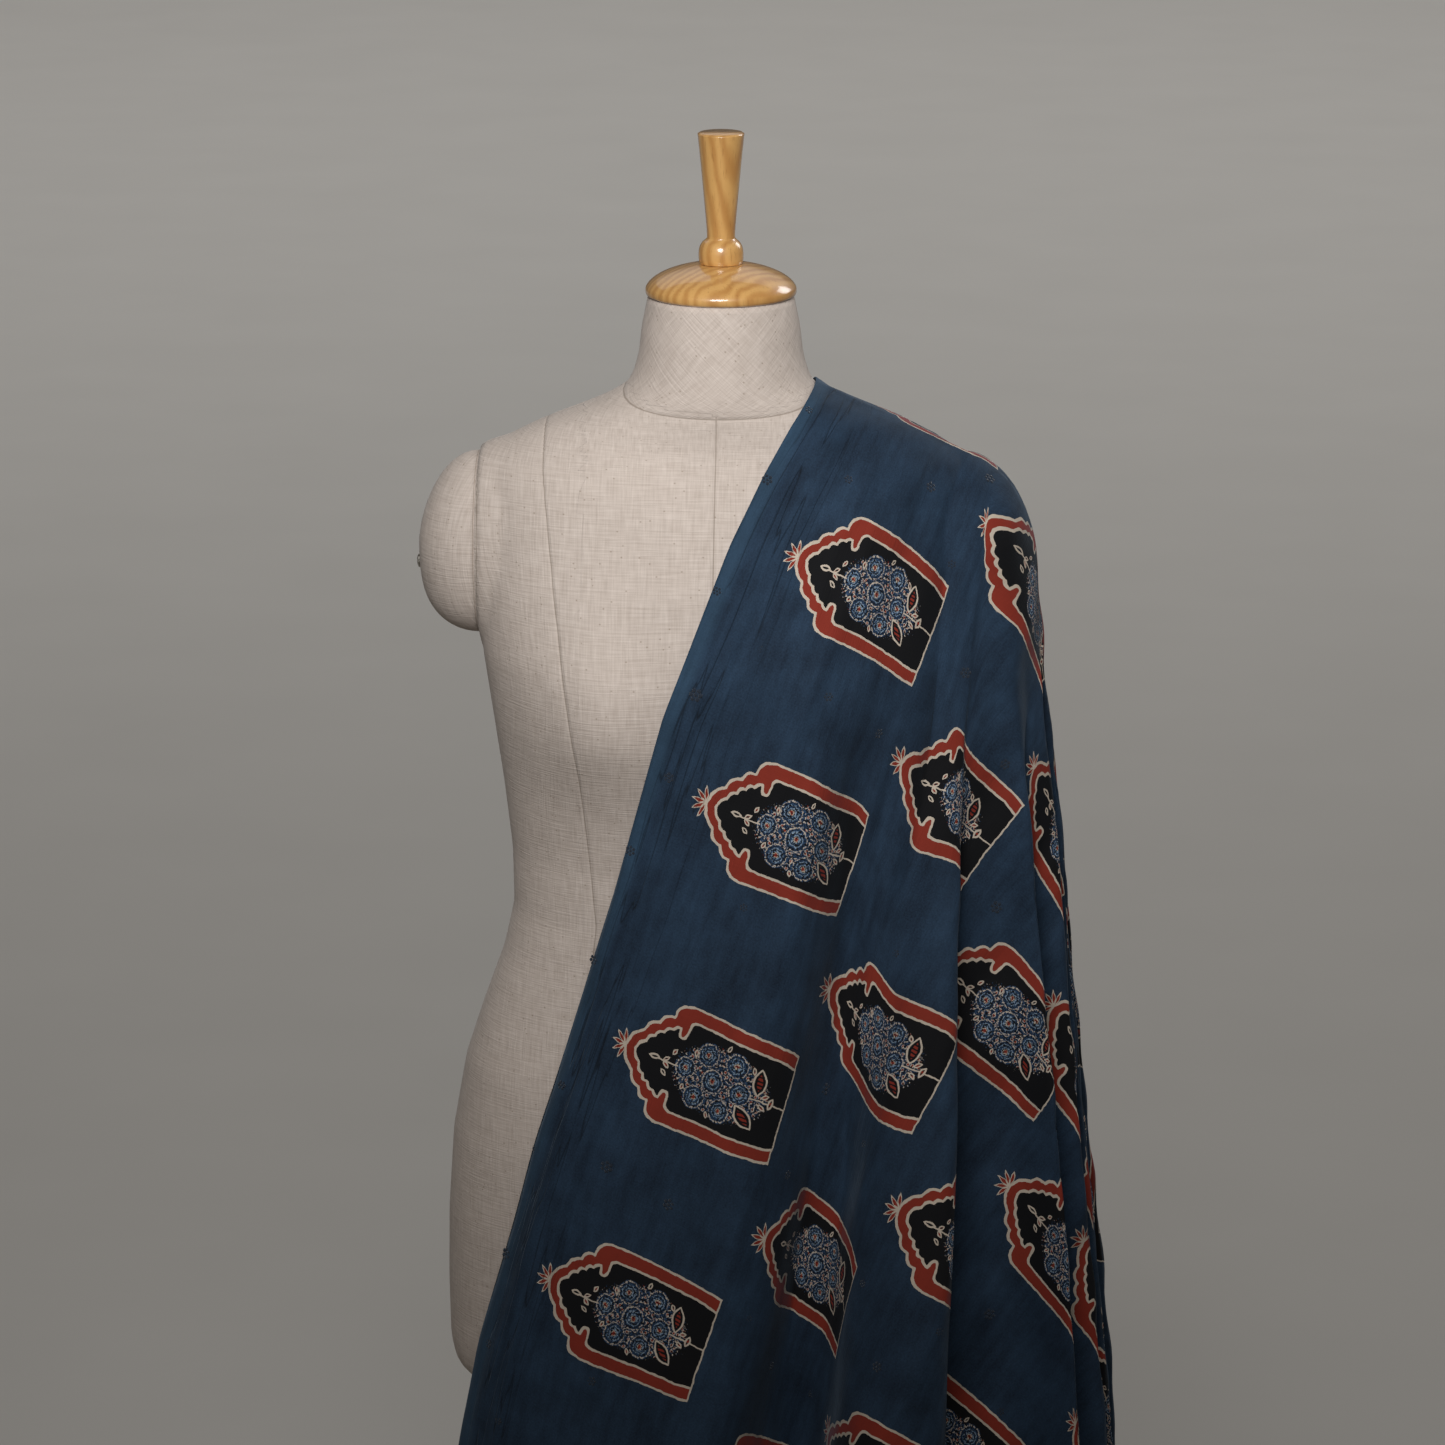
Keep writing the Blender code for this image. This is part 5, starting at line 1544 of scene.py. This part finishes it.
class DRAPE_OT_stand(bpy.types.Operator):
    """Give the pole, its collar, the round base and the cap's screw their enamel and nickel
    finishes
    """
    bl_idname = "drape.stand"
    bl_label = "Stand and screw"

    def execute(self, context):
        settings = context.scene.drape_fittings
        enamel, nickel = enamelled_steel(settings), nickel_plate(settings)
        nodes = frame["nodes"]
        for name, finish in (("collar", enamel), ("base", enamel), ("pole", nickel),
                             ("arm_screw", nickel)):
            nodes[name].data.materials.clear()
            nodes[name].data.materials.append(finish)
        return {"FINISHED"}


def aimed(name, data, place, look):
    """A light or camera at a place, looking along a direction."""
    thing = bpy.data.objects.new(name, data)
    thing.location = place
    thing.rotation_mode = "QUATERNION"
    thing.rotation_quaternion = Vector(look).to_track_quat("-Z", "Y")
    bpy.context.scene.collection.objects.link(thing)
    return thing


def floor_paint(settings):
    """Matt pale paint on a smooth floor, faintly mottled where it has worn."""
    finish, tree = new_material("matt pale floor paint")
    place = put(tree, "ShaderNodeTexCoord").outputs["Object"]
    mottle = put(tree, NOISE, place, inputs={"Scale": 3.0, "Detail": 3.0})
    tone = put(tree, MIX, inputs={0: mottle, 6: linear(settings.floor),
                                  7: linear(FLOOR_MOTTLED)}, data_type="RGBA").outputs[2]
    close_material(tree, tone, 0.9)
    return finish


class DRAPE_OT_stage(bpy.types.Operator):
    """Set the pale floor, the soft light and the photograph's camera"""
    bl_idname = "drape.stage"
    bl_label = "Stage"

    def execute(self, context):
        settings = context.scene.drape_stage
        scene = context.scene
        corners = [(x * FLOOR_HALF, y * FLOOR_HALF, 0)
                   for x, y in ((-1, -1), (1, -1), (1, 1), (-1, 1))]
        floor = add_mesh("floor", corners, [(0, 1, 2, 3)], floor_paint(settings))
        world = bpy.data.worlds.new("soft room")
        scene.world = world
        world.use_nodes = True
        room = world.node_tree.nodes["Background"]
        room.inputs["Color"].default_value = linear(ROOM_LIGHT)
        room.inputs["Strength"].default_value = settings.fill_power
        for name, power, size, spread, place, aim in LIGHTS:
            light = bpy.data.lights.new(name, "AREA")
            light.energy = power * settings.key_power
            light.size = size
            light.spread = math.radians(spread)
            aimed(name, light, place, Vector(aim) - Vector(place))
        back = np.array([math.sin(CAMERA_TURN) * math.cos(CAMERA_PITCH),
                         -math.cos(CAMERA_TURN) * math.cos(CAMERA_PITCH),
                         math.sin(CAMERA_PITCH)])
        right = np.array([math.cos(CAMERA_TURN), math.sin(CAMERA_TURN), 0.0])
        lens = bpy.data.cameras.new("camera")
        lens.lens = CAMERA_LENS
        lens.sensor_width = SENSOR_WIDTH
        place = np.array(CAMERA_TARGET) + CAMERA_DISTANCE * back + CAMERA_ASIDE * right
        scene.camera = aimed("camera", lens, place, -back)
        scene.view_settings.view_transform = "Standard"
        return {"FINISHED"}


class DRAPE_PT_panel(bpy.types.Panel):
    """Lists the makers of the draped form"""
    bl_idname = "DRAPE_PT_panel"
    bl_label = "Draped form"
    bl_space_type = "VIEW_3D"
    bl_region_type = "UI"
    bl_category = "Drape"

    def draw(self, context):
        for maker in MAKERS:
            self.layout.operator(maker.bl_idname)
        for name in GROUPS:
            group = getattr(context.scene, name)
            for key in group.bl_rna.properties.keys():
                if key not in ("rna_type", "name"):
                    self.layout.prop(group, key)


GROUPS = {
    "drape_cloth": DRAPE_PG_cloth,
    "drape_form": DRAPE_PG_form,
    "drape_fittings": DRAPE_PG_fittings,
    "drape_stage": DRAPE_PG_stage,
}
MAKERS = (DRAPE_OT_torso, DRAPE_OT_arm_caps, DRAPE_OT_wood, DRAPE_OT_stand, DRAPE_OT_cloth,
          DRAPE_OT_knots, DRAPE_OT_stage)


def register():
    for group in GROUPS.values():
        bpy.utils.register_class(group)
    for maker in MAKERS:
        bpy.utils.register_class(maker)
    bpy.utils.register_class(DRAPE_PT_panel)
    for name, group in GROUPS.items():
        setattr(bpy.types.Scene, name, bpy.props.PointerProperty(type=group))


def unregister():
    for name in GROUPS:
        delattr(bpy.types.Scene, name)
    bpy.utils.unregister_class(DRAPE_PT_panel)
    for maker in reversed(MAKERS):
        bpy.utils.unregister_class(maker)
    for group in reversed(list(GROUPS.values())):
        bpy.utils.unregister_class(group)


def main():
    """Make every piece."""
    register()
    bpy.ops.drape.torso()
    bpy.ops.drape.arm_caps()
    bpy.ops.drape.wood()
    bpy.ops.drape.stand()
    bpy.ops.drape.cloth()
    bpy.ops.drape.knots()
    bpy.ops.drape.stage()
    bpy.context.view_layer.update()


if __name__ == "__main__":
    main()
